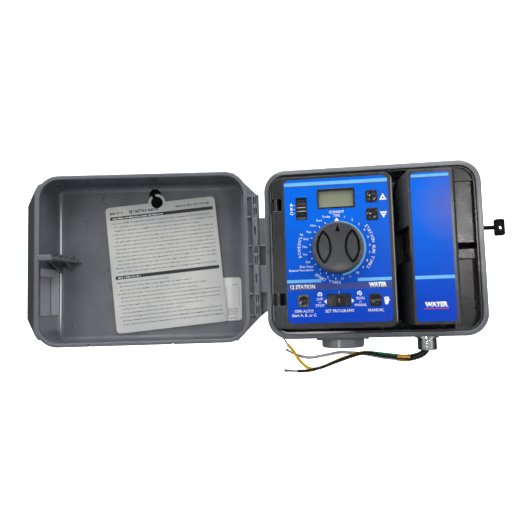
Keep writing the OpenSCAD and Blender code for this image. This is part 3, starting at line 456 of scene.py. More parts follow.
MATS = {
    "cabinet": moulded("cabinet_grey", GREY, GREY_DARK, GREY_WEAR_AND_HIGHLIGHT, **SHELL, patches=RIM_PATCHES),
    "door": moulded("door_grey", GREY, GREY_DARK, GREY_WEAR_AND_HIGHLIGHT, **SHELL, patches=DOOR_PATCHES),
    "hub": moulded("hub_grey", srgb(122, 126, 131), srgb(112, 116, 121), GREY_WEAR_AND_HIGHLIGHT, rough=0.15,
                   grain=0.0012, depth=0.000004, edge=0.0006, wear=0.25, coat=0.3, patches=HUB_PATCHES),
    "liner": moulded("liner_black", BLACK, srgb(9, 10, 12), BLACK_WEAR_AND_HIGHLIGHT, rough=0.30, grain=0.00075,
                     depth=0.00008, edge=0.0006, wear=0.35, coat=0.05, crevice_shade=0.6, grain_glints=0.025,
                     patches=LINER_PATCHES),
    "bezel": moulded("bezel_black", BLACK_SOFT, BLACK, BLACK_WEAR_AND_HIGHLIGHT, rough=0.34, grain=0.0008,
                     depth=0.00010, edge=0.0015, wear=0.7, coat=0.05, crevice_shade=0.6, grain_glints=0.04,
                     patches=BEZEL_PATCHES),
    "cover": moulded("cover_black", srgb(44, 46, 50), srgb(32, 33, 37), BLACK_WEAR_AND_HIGHLIGHT, rough=0.30,
                     grain=0.0008, depth=0.00007, edge=0.0013, wear=0.6, coat=0.10, crevice_shade=0.35,
                     grain_glints=0.08, patches=COVER_PATCHES),
    "knob": moulded("knob_black", srgb(58, 62, 68), srgb(40, 43, 48), srgb(148, 147, 144), rough=0.34,
                    grain=0.0007, depth=0.00011, edge=0.0009, wear=0.8, coat=0.1, crevice_shade=1.3, grain_glints=0.06,
                    patches=KNOB_PATCHES),
    "gloss": moulded("gloss_black", srgb(10, 10, 12), srgb(4, 4, 5), BLACK_WEAR_AND_HIGHLIGHT, rough=0.20,
                     grain=0.0015, depth=0.00001, edge=0.0007, wear=0.9, coat=0.3, crevice_shade=0.7),
    # pale grey of the painted highlights on the slide ridges, also the white mark on the function
    # slide's peg
    "ridge": moulded("ridge_highlight_grey", srgb(190, 190, 188), srgb(140, 140, 140), srgb(226, 226, 222),
                     rough=0.2, grain=0.001, depth=0.00002, edge=0.0003, wear=0.8, coat=0.3),
    "key": moulded("key_black", srgb(8, 8, 10), srgb(4, 4, 5), srgb(46, 46, 48), rough=0.5, grain=0.001,
                   depth=0.00003, edge=0.0009, wear=0.3, scratches=0.05, shine=0.06),
    "nylon": moulded("terminal_green", srgb(34, 128, 74), srgb(24, 98, 56), srgb(120, 180, 140),
                     rough=0.42, grain=0.0009, depth=0.00003, edge=0.0003, wear=0.4),
    "dull": moulded("switch_grey", srgb(58, 59, 62), srgb(40, 41, 44), srgb(120, 120, 122), rough=0.5,
                    grain=0.0008, depth=0.00004, edge=0.0003, wear=0.4),
    "vinyl": moulded("vinyl_navy", srgb(26, 34, 92), srgb(18, 22, 66), srgb(90, 96, 140), rough=0.3,
                     grain=0.001, depth=0.00002, edge=0.0004, wear=0.3, coat=0.2),
    "zinc": metal("zinc_plate", srgb(184, 186, 186), srgb(150, 152, 154), 0.17, (1.0, 1.0, 0.05),
                  uneven=0.25),
    "nipple": metal("nipple_zinc", srgb(226, 228, 228), srgb(180, 182, 182), 0.16, (1.0, 1.0, 0.05),
                    uneven=0.25, bright=(-0.10, -0.995, 0.0)),
    "steel": metal("steel", srgb(168, 168, 170), srgb(98, 98, 100), 0.32, (1.0, 1.0, 0.2)),
    "brass": metal("brass", srgb(196, 168, 104), srgb(120, 98, 56), 0.3),
    "chrome": metal("lock_zinc", srgb(188, 190, 192), srgb(128, 130, 134), 0.2),
    "panel_film": film("panel_film", (-0.0977, 0.0179), (-0.080, 0.0825)),
    "cover_film": film("cover_film", (0.041, 0.082), (-0.077, 0.080),
                       painted_sheen=((0.082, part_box("cover_overlay")[0].y, 0.043), 0.042, 0.45)),
    "card": sheet("card_stock", PAPER, 0.40, 0.25),
    "label": sheet("label_paper", srgb(232, 234, 234), 0.5, 0.05),
    "board": board("circuit_board"),
    "core": laminated("core_laminations"),
    "coil": tape_wrap("coil_tape", srgb(62, 50, 26), srgb(22, 19, 14)),
    "sky": ink("ink_sky", SKY),
    "navy": ink("ink_navy", NAVY),
    "white": ink("ink_white", WHITE),
    "black_ink": ink("ink_black", INK),
    "red": ink("ink_red", srgb(206, 44, 52)),
    "segment": ink("ink_segment", srgb(112, 118, 92), 0.4, 0.05),
    "glass": glass("display_glass"),
    "display": display("display_face"),
    "hot": insulated("wire_black", lambda m: srgb(20, 20, 21), -0.0915, 0.24),
    "neutral": insulated("wire_white", lambda m: srgb(196, 198, 202), -0.0945),
    "ground": insulated("wire_ground", ground_colour, -0.1028, soil=0.08),
    "sleeve": insulated("sleeve_black", lambda m: srgb(16, 16, 17), -1.0, 0.22),
    "tape": tape_wrap("sleeve_tape", srgb(240, 172, 22), srgb(40, 30, 14)),
    "strand": metal("tinned_strand", srgb(172, 170, 164), srgb(104, 100, 94), 0.3),
    "ribbon": sheet("ribbon_grey", srgb(176, 178, 180), 0.42, 0.1),
}

# finish: the CAD nodes that have it
FINISH = {
    "cabinet": "base_cabinet",
    "door": "door",
    "hub": "conduit_hub",
    "liner": "chassis",
    "bezel": "panel_bezel panel_back battery_door",
    "cover": "transformer_cover",
    "knob": "dial_knob",
    "gloss": "lcd_frame plus_button minus_button semi_auto_button manual_button program_slider "
             "function_slider",
    "key": "key card_hook battery_snap control_chip",
    "dull": "hub_locknut rotary_switch battery panel_header terminal_header",
    "nylon": "terminal_block",
    "vinyl": "capacitors",
    "nipple": "conduit_nipple",
    "zinc": "nipple_locknut chassis_screws panel_back_screws board_screws transformer_screws",
    "steel": "door_hinge_pin panel_hinge_pins lock_crank lock_bolt lock_nut rotary_shaft "
             "tact_switches program_switch function_switch terminal_screws",
    "brass": "lock_plug",
    "chrome": "lock_body",
    "panel_film": "panel_overlay",
    "cover_film": "cover_overlay",
    "card": "reference_card",
    "label": "wiring_label",
    "board": "main_board terminal_board",
    "core": "transformer_core",
    "coil": "transformer_coil",
    "glass": "lcd_window",
    "display": "lcd_panel",
    "hot": "hot_wire",
    "neutral": "neutral_wire",
    "ground": "ground_wire",
    "sleeve": "cable_sleeve",
    "ribbon": "ribbon_cable",
}

for finish, names in FINISH.items():
    for node_name in names.split():
        data = NODES[node_name].data
        data.materials.clear()
        data.materials.append(MATS[finish])


# -------- flat printing

def place(origin, right=(1, 0, 0), up=(0, 0, 1)):
    """Millimetres on a sheet (right, up, out) to metres in the part frame."""
    r, u = Vector(right).normalized(), Vector(up).normalized()
    o = r.cross(u)
    axes = Matrix((r * MM, u * MM, o * MM)).transposed().to_4x4()
    return Matrix.Translation(origin) @ axes


def linked(name, data):
    obj = bpy.data.objects.new(name, data)
    bpy.context.scene.collection.objects.link(obj)
    return obj


class Print:
    """Thin printed shapes gathered into one piece."""

    def __init__(self, sheet_matrix, lift):
        self.bm = bmesh.new()
        self.matrix = sheet_matrix
        self.lift = lift

    def poly(self, points):
        self.bm.faces.new([self.bm.verts.new((x, y, self.lift)) for x, y in points])

    def rect(self, x0, x1, y0, y1):
        self.poly([(x0, y0), (x1, y0), (x1, y1), (x0, y1)])

    def ring(self, cx, cy, r0, r1, a0, a1, steps=48):
        """Angles run clockwise from the top, in degrees."""
        def at(r, turn):
            return cx + r * math.sin(turn), cy + r * math.cos(turn)

        for i in range(steps):
            a, b = (math.radians(a0 + (a1 - a0) * k / steps) for k in (i, i + 1))
            self.poly([at(r0, b), at(r1, b), at(r1, a), at(r0, a)])

    def text(self, words, x, y, size, align="CENTER", turn=0.0, bold=0.012, wide=None):
        """wide is the printed width in millimetres; the size then only sets the height."""
        curve = bpy.data.curves.new("words", "FONT")
        curve.body = words
        curve.size = size
        curve.align_x = align
        curve.align_y = "CENTER"
        curve.offset = bold * size
        curve.resolution_u = 2
        obj = bpy.data.objects.new("words", curve)
        mesh = bpy.data.meshes.new_from_object(obj)
        xs = [v.co.x for v in mesh.vertices]
        stretch = wide / (max(xs) - min(xs)) if wide else 1.0
        spin = Matrix.Rotation(math.radians(turn), 4, "Z")
        moved = Matrix.Translation((x, y, self.lift))
        mesh.transform(moved @ spin @ Matrix.Diagonal((stretch, 1, 1, 1)))
        self.bm.from_mesh(mesh)
        bpy.data.meshes.remove(mesh)
        bpy.data.objects.remove(obj)
        bpy.data.curves.remove(curve)

    def arc_text(self, words, cx, cy, r, a0, a1, size, outward=True, bold=0.02):
        """Letters evenly spread from angle a0 to a1, clockwise from the top."""
        for i, letter in enumerate(words):
            if letter == " ":
                continue
            a = a0 + (a1 - a0) * i / max(1, len(words) - 1)
            s, c = math.sin(math.radians(a)), math.cos(math.radians(a))
            self.text(letter, cx + r * s, cy + r * c, size, turn=-a if outward else 180 - a, bold=bold)

    def scribble(self, x0, x1, y, height, seed, heavy=0.0):
        """A line of unreadable marks the size of print."""
        rng = random.Random(seed)
        x = x0
        while x < x1:
            word = rng.randint(2, 9)
            bold_word = rng.random() < heavy
            for _ in range(word):
                w = height * rng.uniform(0.24, 0.46)
                if x + w > x1:
                    return
                top = height * (1.0 if rng.random() < 0.25 else 0.72)
                drop = height * (0.22 if rng.random() < 0.12 else 0.0)
                if rng.random() < 0.4:
                    self.rect(x, x + w * 0.45, y - drop, y + top)
                    self.rect(x + w * 0.45, x + w, y + top * 0.62, y + top * 0.86)
                else:
                    self.rect(x, x + w * (1.0 if bold_word else 0.72), y - drop, y + top * 0.9)
                x += w + height * 0.12
            x += height * 0.42

    def piece(self, name, material, body, thick=0.02):
        mesh = bpy.data.meshes.new(name)
        self.bm.to_mesh(mesh)
        self.bm.free()
        obj = linked(name, mesh)
        mesh.transform(self.matrix)
        mesh.materials.append(MATS[material])
        solid = obj.modifiers.new("ink", "SOLIDIFY")
        solid.thickness = thick * MM
        solid.offset = -1
        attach(obj, body)
        return obj


def box_mm(node):
    """Low corner, high corner and centre of a CAD node's box, in millimetres."""
    lo, hi = (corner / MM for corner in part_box(node))
    return lo, hi, (lo + hi) / 2


# control panel: sheet origin at the part origin, on the film face
face = box_mm("panel_overlay")
panel_sheet = place((0, face[0].y * MM, 0))
dial = box_mm("dial_knob")
dial_x, dial_z = dial[2].xz
film_l, film_r = face[0].x, face[1].x
disc_r = 40.5
band_top, band_bottom = -36.0, -43.6
stripe_lo, stripe_hi = -34.9, -31.4

p = Print(panel_sheet, 0.03)
p.rect(film_l + 0.2, film_r - 0.2, 75.2, 79.2)
for left, right in ((film_l + 0.1, dial_x - 19.5), (dial_x + 20.5, film_r - 0.1)):
    p.rect(left, right, stripe_lo, stripe_hi)
p.ring(dial_x, dial_z, 28.9, 31.2, 8, 172, 80)
p.piece("panel_stripes", "sky", "panel")

p = Print(panel_sheet, 0.02)
p.rect(film_l + 0.2, film_r - 0.2, 74.0, 75.2)
p.rect(film_l + 0.1, film_r - 0.1, band_bottom, band_top)
p.piece("panel_band", "navy", "panel")

# the dial's blue field hangs over the band
p = Print(panel_sheet, 0.04)
low_edge = math.acos((dial_z - band_top - 1.5) / disc_r)
steps = 28
arc = [math.pi - low_edge + 2 * low_edge * k / steps for k in range(steps + 1)]
p.poly([(dial_x + disc_r * math.sin(a), dial_z + disc_r * math.cos(a)) for a in arc][::-1])
p.piece("dial_field", "panel_film", "panel")

# capital height to font size
CAP = 1 / 0.70
ring_x, ring_z = dial_x + 0.3, dial_z + 0.6


def round_dial(radius, degrees):
    """Point at a radius and clockwise angle about the printed ring, and the angle's sine and cosine."""
    s, c = math.sin(math.radians(degrees)), math.cos(math.radians(degrees))
    return ring_x + radius * s, ring_z + radius * c, s, c


def words_table(pr, rows):
    """Rows of (words, x, z, capital height, printed width)."""
    for words, x, z, height, wide in rows:
        pr.text(words, x, z, height * CAP, wide=wide)


p = Print(panel_sheet, 0.06)
for i in range(12):
    x, z = round_dial(35.0, 14.1 + 14.6 * i)[:2]
    p.text(str(i + 1), x, z, 2.6 * CAP)
days = (("Today", 9.0), ("Sun", 6.4), ("Mon", 6.6), ("Tue", 5.6), ("Wed", 6.2), ("Thu", 5.4),
        ("Fri", 4.2), ("Sat", 4.9))
for i, (day, wide) in enumerate(days):
    x, z = round_dial(37.3, -18.7 - 13.56 * i)[:2]
    p.text(day, x, z, 2.4 * CAP, wide=wide)
p.text("Skip Days", ring_x - 28.2, ring_z - 20.1, 2.3 * CAP, align="RIGHT", wide=15.4)
p.text("Special Functions", ring_x - 28.2, ring_z - 24.1, 2.3 * CAP, align="RIGHT", wide=27.4)
for i in range(3):
    x, z = round_dial(35.0, -144.5 - 14.5 * i)[:2]
    p.text(str(i + 1), x, z, 2.4 * CAP)
tick_long, tick_wide = 0.9, 0.45
for i in range(11):
    x, z, s, c = round_dial(31.4, -24.9 - 14.25 * i)
    corners = [(i * tick_long, j * tick_wide) for i, j in ((-1, -1), (-1, 1), (1, 1), (1, -1))]
    p.poly([(x + out * s + across * c, z + out * c - across * s) for out, across in corners])
words_table(p, (("CURRENT", dial_x, 43.3, 3.0, 16.8), ("TIME", dial_x, 39.3, 3.0, 7.6)))
p.poly([(dial_x - 2.9, 33.2), (dial_x + 2.9, 33.2), (dial_x, 37.2)])
p.arc_text("STATION RUN TIMES", ring_x, ring_z, 39.2, 54, 126, 3.2 * CAP)
p.arc_text("SCHEDULE", ring_x, ring_z, 43.4, -102, -68, 3.1 * CAP)
p.arc_text("START TIMES", ring_x, ring_z, 39.2, -139.5, -181, 3.0 * CAP, outward=False)
for i, letter in enumerate("ABC"):
    row = 53.5 - 4.7 * i
    p.text(letter, -89.9, row, 3.3 * CAP, bold=0.05)
    p.rect(-87.2, -86.1, row - 0.5, row + 0.4)
band_mid = (band_top + band_bottom) / 2
p.text("12 STATION", film_l + 17.2, band_mid, 4.3 * CAP, bold=0.03, wide=27.6)
p.text("WATER", film_r - 15.4, band_mid + 0.2, 4.6 * CAP, bold=0.07, wide=19.6)
words_table(p, (
    ("SEMI-AUTO", -79.5, -66.9, 3.2, 21.0),
    ("Start A, B, or C", -79.5, -71.4, 3.1, 27.0),
    ("SET PROGRAMS", -40.3, -67.4, 3.3, 31.6),
    ("MANUAL", -0.6, -67.6, 3.2, 17.2),
    ("OFF", -61.6, -54.0, 3.1, 7.0),
    ("or", -61.6, -57.3, 1.9, 3.4),
    ("STOP", -61.6, -61.0, 3.1, 10.0),
    ("RUN", -17.0, -54.0, 3.0, 8.6),
    ("or", -17.0, -57.6, 1.9, 3.4),
    ("MANUAL", -17.0, -61.4, 3.0, 13.0)))
# arrows and mark beside the function slide
p.poly([(-57.0, -56.4), (-54.0, -59.2), (-54.0, -53.6)])
p.poly([(-23.6, -56.4), (-26.6, -53.6), (-26.6, -59.2)])
p.rect(-40.4, -39.8, -47.8, -45.4)
# off and run signs
for cx, start, end in ((-61.4, -150, 150), (-17.8, -130, 170)):
    p.ring(cx, -48.5, 1.5, 2.7, start, end, 24)
    p.rect(cx - 0.45, cx + 0.45, -50.2, -46.8)
# hand sign: fingers, palm, thumb
for k in range(4):
    p.rect(8.6 + 1.35 * k, 9.7 + 1.35 * k, -56.6, -52.6 - 0.5 * abs(k - 1.5))
p.poly([(8.9, -56.6), (13.6, -56.6), (13.2, -60.0), (12.2, -61.4), (10.2, -61.4), (9.3, -60.2)])
p.poly([(13.6, -58.4), (14.9, -56.2), (14.2, -55.8), (13.0, -57.4)][::-1])
up_x, up_z, dn_z = 12.2, 58.4, 38.0
p.poly([(up_x - 4.0, up_z - 3.6), (up_x + 4.0, up_z - 3.6), (up_x, up_z + 3.7)])
p.poly([(up_x - 4.0, dn_z + 3.6), (up_x, dn_z - 3.7), (up_x + 4.0, dn_z + 3.6)])
p.piece("panel_legends", "white", "panel")

p = Print(panel_sheet, 0.09)
p.rect(up_x - 1.3, up_x + 1.3, up_z - 1.6, up_z - 0.8)
p.rect(up_x - 0.4, up_x + 0.4, up_z - 2.5, up_z - 0.8)
p.rect(up_x - 0.4, up_x + 0.4, up_z - 0.8, up_z + 0.1)
p.rect(up_x - 1.4, up_x + 1.4, dn_z + 1.0, dn_z + 1.9)
p.piece("panel_signs", "navy", "panel")

# cover film
cover = box_mm("cover_overlay")
cover_sheet = place((0, cover[0].y * MM, 0))
cover_l, cover_r = cover[0].x, cover[1].x
p = Print(cover_sheet, 0.03)
p.rect(cover_l + 0.9, cover_r - 0.9, 75.4, 78.4)
p.rect(cover_l + 0.1, cover_r - 0.1, -35.6, -32.0)
p.piece("cover_stripes", "sky", "cabinet")
p = Print(cover_sheet, 0.02)
p.rect(cover_l + 0.3, cover_r - 0.3, 74.2, 75.4)
p.piece("cover_band", "navy", "cabinet")
p = Print(cover_sheet, 0.06)
p.text("WATER", (cover_l + cover_r) / 2, -63.2, 4.8 * CAP, bold=0.07, wide=24.0)
p.piece("cover_legend", "white", "cabinet")
p = Print(cover_sheet, 0.06)
p.rect(cover_l + 7.6, cover_r - 8.2, -67.7, -66.9)
p.piece("cover_rule", "red", "cabinet")

# display digits, unlit
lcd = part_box("lcd_panel")
lcd_sheet = place((0, lcd[0].y, 0))
p = Print(lcd_sheet, 0.03)


def digit(pr, x, z, w, h, t):
    half = h / 2
    for row in (0, half, h):
        pr.rect(x + t, x + w - t, z + row - t / 2, z + row + t / 2)
    for col in (0, w):
        for row in (0, half):
            pr.rect(x + col - t / 2, x + col + t / 2, z + row + t * 0.7, z + row + half - t * 0.7)


for cx in (-53.0, -46.2, -37.4, -30.6):
    digit(p, cx, 53.0, 4.2, 8.6, 0.8)
for dz in (55.6, 59.0):
    p.rect(-40.4, -39.6, dz, dz + 0.8)
p.piece("display_digits", "segment", "panel")
window = box_mm("lcd_window")
# painted shadow along the top of the window, and a thin dark band along its bottom
p = Print(lcd_sheet, 0.05)
p.rect(window[0].x, window[1].x, window[1].z - 2.6, window[1].z)
p.rect(window[0].x, window[1].x, window[0].z, window[0].z + 1.0)
p.piece("display_painted_shadow", "black_ink", "panel")

# -------- door printing

swing = next(j for j in frame["joints"] if j["name"] == "door_swing")
hinge = Vector(swing["pos_m"])
open_turn = math.radians(DOOR_OPEN_DEG)
opened = Matrix.Translation(hinge) @ Matrix.Rotation(-open_turn, 4, "Z") @ Matrix.Translation(-hinge)
closed = opened.inverted()


def closed_box(node):
    """Box of a door node with the door shut."""
    co = [closed @ v.co for v in NODES[node].data.vertices]
    lo = Vector([min(c[i] for c in co) for i in range(3)])
    hi = Vector([max(c[i] for c in co) for i in range(3)])
    return lo, hi


hang = next(j for j in frame["joints"] if j["name"] == "card_swing")
hang_at = closed @ Vector(hang["pos_m"])
card_front = closed_box("reference_card")[1].y
card_tilt = math.radians(5)
hung = Matrix.Translation((hang_at.x, card_front, hang_at.z)) @ Matrix.Rotation(card_tilt, 4, "Y")
card_sheet = opened @ hung @ place((0, 0, 0), (-1, 0, 0), (0, 0, 1))
card_l, card_r, card_top = -65.6, 73.2, 0.0

p = Print(card_sheet, 0.03)
p.rect(card_l + 5.0, card_r - 3.5, card_top - 16.8, card_top - 12.6)
p.rect(card_l + 5.0, card_r - 3.5, card_top - 92.0, card_top - 87.8)
p.scribble(card_l + 5.5, card_l + 21.0, card_top - 9.4, 3.4, 1, 1.0)
p.scribble(card_l + 30.0, card_l + 66.0, card_top - 9.8, 4.2, 2, 1.0)
p.scribble(card_r - 50.0, card_r - 7.0, card_top - 8.6, 2.8, 3, 0.6)
rng = random.Random(7)
for block_top, rows in ((-20.6, 14), (-95.8, 12)):
    for row in range(rows):
        y = block_top - 4.75 * row - 1.4
        indent = 6.0 if row % 3 == 0 else 9.0
        end = card_r - 4.5 if rng.random() < 0.55 else card_r - rng.uniform(18, 70)
        p.scribble(card_l + indent, end, y, 1.75, 20 + row + int(-block_top), 0.25)
p.piece("card_print", "black_ink", "card")
p = Print(card_sheet, 0.06)
p.scribble(card_l + 8.0, card_l + 72.0, card_top - 15.8, 2.2, 4, 0.8)
p.scribble(card_l + 8.0, card_l + 36.0, card_top - 91.0, 2.2, 5, 0.8)
p.piece("card_reversed_print", "white", "card")

label_lo, label_hi = closed_box("wiring_label")
label_sheet = opened @ place((0, label_hi.y, 0), (-1, 0, 0), (0, 0, 1))
label_r, label_b = -label_lo.x / MM, label_lo.z / MM
p = Print(label_sheet, 0.03)
for row in range(5):
    p.scribble(label_r - 17.5, label_r - 4.0 - 1.5 * (row % 2), label_b + 14.5 - 1.9 * row, 1.1,
               60 + row, 0.3)
p.scribble(label_r - 17.5, label_r - 5.5, label_b + 2.6, 1.5, 70, 0.9)
p.scribble(label_r - 11.0, label_r - 4.0, label_b + 44.5, 1.2, 71, 0.2)
p.piece("label_print", "black_ink", "door")
p = Print(label_sheet, 0.03)
for edge in (-18.6, -3.0):
    p.rect(label_r + edge, label_r + edge + 0.3, label_b + 18, label_b + 42)
p.piece("label_rules", "segment", "door")


# -------- built detail

def mesh_piece(name, shape, material, body, smooth=True):
    """shape is (vertices, faces), in metres."""
    verts, faces = shape
    mesh = bpy.data.meshes.new(name)
    mesh.from_pydata([tuple(v) for v in verts], [], faces)
    mesh.validate()
    mesh.update()
    if smooth:
        for f in mesh.polygons:
            f.use_smooth = True
    mesh.materials.append(MATS[material])
    obj = linked(name, mesh)
    if body:
        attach(obj, body)
    return obj


def sweep(path, radius, sides):
    """Tube along points; radius may be a function of the point's index."""
    verts, faces = [], []
    n = len(path)
    for i, pt in enumerate(path):
        t = (path[min(n - 1, i + 1)] - path[max(0, i - 1)]).normalized()
        u = Vector((0, 1, 0)).cross(t).normalized()
        v = t.cross(u)
        for k in range(sides):
            a = 2 * math.pi * k / sides
            r = radius(i, a) if callable(radius) else radius
            verts.append(pt + (u * math.cos(a) + v * math.sin(a)) * r)
    for i in range(n - 1):
        for k in range(sides):
            a, b = i * sides + k, i * sides + (k + 1) % sides
            faces.append((a, b, b + sides, a + sides))
    faces.append(tuple(range(sides))[::-1])
    faces.append(tuple((n - 1) * sides + k for k in range(sides)))
    return verts, faces


def joined(parts):
    verts, faces = [], []
    for v, f in parts:
        base = len(verts)
        verts += v
        faces += [tuple(base + i for i in face) for face in f]
    return verts, faces


def lathe(cx, cy, profile, sides=64):
    """Closed ring about a vertical axis from (radius, z) pairs in millimetres."""
    verts, faces = [], []
    n = len(profile)
    for k in range(sides):
        a = 2 * math.pi * k / sides
        for r, z in profile:
            verts.append(Vector(((cx + r * math.cos(a)) * MM, (cy + r * math.sin(a)) * MM, z * MM)))
    for k in range(sides):
        for i in range(n):
            a, b = k * n + i, k * n + (i + 1) % n
            c, d = ((k + 1) % sides) * n + i, ((k + 1) % sides) * n + (i + 1) % n
            faces.append((a, c, d, b))
    return verts, faces


# threads on the metal nipple
nipple = box_mm("conduit_nipple")
nip_bottom = nipple[0].z
thread_r, pitch, turns = 10.66, 1.35, 8
profile = [(thread_r - 0.35, nip_bottom + 0.25)]
for i in range(turns):
    z = nip_bottom + 0.6 + pitch * i
    profile += [(thread_r, z), (thread_r + 0.42, z + pitch * 0.5)]
thread_top = nip_bottom + pitch * turns
profile += [(thread_r, thread_top + 0.6), (thread_r - 0.35, thread_top + 0.8)]
mesh_piece("nipple_thread", lathe(*nipple[2].xy, profile), "nipple", "cabinet")

# printed wrap that holds the wires where they leave the sleeve
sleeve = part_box("cable_sleeve")
wrap_z, wrap_long, wrap_sag, rings = -0.1242, 0.0145, 0.0009, 24
tip = Vector((sleeve[0].x, (sleeve[0].y + sleeve[1].y) / 2, wrap_z))
wrap_path = [tip + Vector((wrap_long * k / rings, 0, -wrap_sag * math.sin(math.pi * k / 30)))
             for k in range(rings + 1)]


def wrap_radius(i, a):
    """Creased tape with a step at every turn."""
    return 0.00395 + 0.00012 * math.sin(a * 2 + i * 0.9) + 0.0001 * ((i // 6) % 2)


mesh_piece("sleeve_wrap", sweep(wrap_path, wrap_radius, 24), "tape", "cabinet")


def strands(name, start, end, bundle_r, fan, seed):
    """Fine bare strands, twisted, opening towards the tip."""
    rng = random.Random(seed)
    axis = (end - start).normalized()
    u = Vector((0, 1, 0)).cross(axis).normalized()
    v = axis.cross(u)
    parts = []
    count, points = 12, 15
    for s in range(count):
        phase = 2 * math.pi * s / count
        reach = rng.uniform(0.88, 1.04)
        spread = fan * rng.uniform(0.3, 1.0)
        path = []
        for k in range(points):
            t = k / (points - 1)
            ring = bundle_r + spread * max(0.0, t - 0.45) ** 1.6 * 2
            a = phase + 2.6 * t
            twist = (u * math.cos(a) + v * math.sin(a)) * ring
            path.append(start + (end - start) * (t * reach) + twist)
        parts.append(sweep(path, 0.00021, 6))
    return mesh_piece(name, joined(parts), "strand", "cabinet")


# wire, finish, y, start (x, z), z of the tip, bundle radius, fan, seed; metres
for wire, colour, y, start, tip_z, bundle_r, fan, seed in (
        ("hot_wire", "hot", -0.0326, (-0.0916, -0.1384), -0.1373, 0.00082, 0.0016, 11),
        ("neutral_wire", "neutral", -0.0250, (-0.0946, -0.1195), -0.1126, 0.00075, 0.0009, 12),
        ("ground_wire", "ground", -0.0288, (-0.1029, -0.1069), -0.0971, 0.00075, 0.0006, 13)):
    tip = Vector((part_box(wire)[0].x, y, tip_z))
    strands(colour + "_strands", Vector((start[0], y, start[1])), tip, bundle_r, fan, seed)

# grip ribs around the dial
rib_r = (dial[1].x - dial[0].x) / 2 - 1.0
rib_front, rib_back = dial[0].y + 2.6, dial[1].y - 3.0
parts = []
ribs = 72
for i in range(ribs):
    a = 2 * math.pi * i / ribs
    s, c = math.sin(a), math.cos(a)
    ring = []
    for y in (rib_front, rib_back):
        for dr, da in ((-0.2, -0.42), (0.28, -0.22), (0.28, 0.22), (-0.2, 0.42)):
            r = rib_r + dr
            ring.append(Vector((dial_x + r * s + da * c, y, dial_z + r * c - da * s)) * MM)
    around = [(k, 4 + k, 4 + (k + 1) % 4, (k + 1) % 4) for k in range(4)]
    parts.append((ring, [(0, 1, 2, 3), (7, 6, 5, 4)] + around))
mesh_piece("dial_ribs", joined(parts), "knob", "dial", smooth=False)

# painted shade inside the arrow pressed into the dial
dial_sheet = place(Vector((dial_x, dial[0].y, dial_z)) * MM)
p = Print(dial_sheet, 0.03)
p.poly([(-3.0, 16.4), (3.0, 16.4), (1.7, 19.6), (0, 26.0), (-1.7, 19.6)])
p.piece("dial_arrow", "key", "dial")
# painted shadow along the rims of the dial's two pockets
p = Print(dial_sheet, 0.03)
# each pocket is bounded by two arcs: centre, radius, width of the line, half angle
for side in (-1, 1):
    for centre, r, line, half_turn in ((32.4, 24.5, 1.0, 46.4), (-3.2, 25.8, 0.9, 43.5)):
        middle = -90 * side if centre > 0 else 90 * side
        p.ring(side * centre, 0, r, r + line, middle - half_turn, middle + half_turn)
p.piece("dial_pocket_shadows", "key", "dial")


def bars(name, boxes, material, body):
    """Small rounded ridges, each given as (x, z, half width, half height, back y, height)."""
    parts = []
    for x, z, hw, hh, y, tall in boxes:
        ring = []
        for k in range(9):
            a = math.pi * k / 8
            off, rise = math.cos(a), math.sin(a)
            for end in (-1, 1):
                if hw < hh:
                    ring.append(Vector((x + hw * off, y - tall * rise, z + hh * end)) * MM)
                else:
                    ring.append(Vector((x + hw * end, y - tall * rise, z + hh * off)) * MM)
        quads = [(2 * k, 2 * k + 1, 2 * k + 3, 2 * k + 2) for k in range(8)] + [(0, 16, 17, 1)]
        ends = [tuple(range(0, 18, 2)), tuple(range(1, 18, 2))[::-1]]
        parts.append((ring, quads + ends))
    return mesh_piece(name, joined(parts), material, body)


prog, func = box_mm("program_slider"), box_mm("function_slider")
prog_x, prog_z = prog[2].xz
func_x, func_z = func[2].xz
rib_y = face[0].y + 3.5
# painted highlights: pale bars across the program slide's plate and peg
plate_rows = [(prog_x, prog_z + dz, 5.0, 0.9, rib_y, 0.4) for dz in (-9.0, 7.2)]
peg_rows = [(prog_x, prog_z + dz, 4.9, 0.5, prog[0].y + 0.05, 0.45) for dz in (-1.6, 2.6)]
bars("program_ridges", plate_rows + peg_rows, "ridge", "program_slider")
steps_out = (6.8, 8.5, 10.2, 11.9)
# painted highlight on the ridges left of the function slide's peg; the ridges right of it keep the
# gloss black
lit_rows = [(func_x - dx, func_z, 0.72, 6.0, rib_y, 0.4) for dx in steps_out]
peg_mark = (func_x, func_z, 0.5, 2.2, func[0].y + 0.05, 0.4)
bars("function_ridges", lit_rows + [peg_mark], "ridge", "function_slider")
dark_rows = [(func_x + dx, func_z, 0.5, 6.0, rib_y, 0.4) for dx in steps_out]
bars("function_dark_ridges", dark_rows, "gloss", "function_slider")

# grey ribbon between the panel and the terminal board
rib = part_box("ribbon_cable")
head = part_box("panel_header")
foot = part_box("terminal_header")
a0 = Vector((0, head[1].y, (head[0].z + head[1].z) / 2))
a1 = Vector((0, foot[0].y, (foot[0].z + foot[1].z) / 2))
bends = [a0, a0 + Vector((0, 0.012, 0)), Vector((0, rib[1].y - 0.0075, a0.z - 0.003)),
         Vector((0, rib[1].y - 0.0035, (a0.z + a1.z) / 2)), Vector((0, a1.y - 0.004, a1.z + 0.004)), a1]


def smooth_path(points, steps):
    out = []
    for i in range(len(points) - 1):
        q = [points[max(0, i - 1)], points[i], points[i + 1], points[min(len(points) - 1, i + 2)]]
        for k in range(steps):
            t = k / steps
            square = 2 * q[0] - 5 * q[1] + 4 * q[2] - q[3]
            cube = 3 * q[1] - q[0] - 3 * q[2] + q[3]
            out.append(0.5 * (2 * q[1] + (q[2] - q[0]) * t + square * t * t + cube * t ** 3))
    return out + [points[-1]]


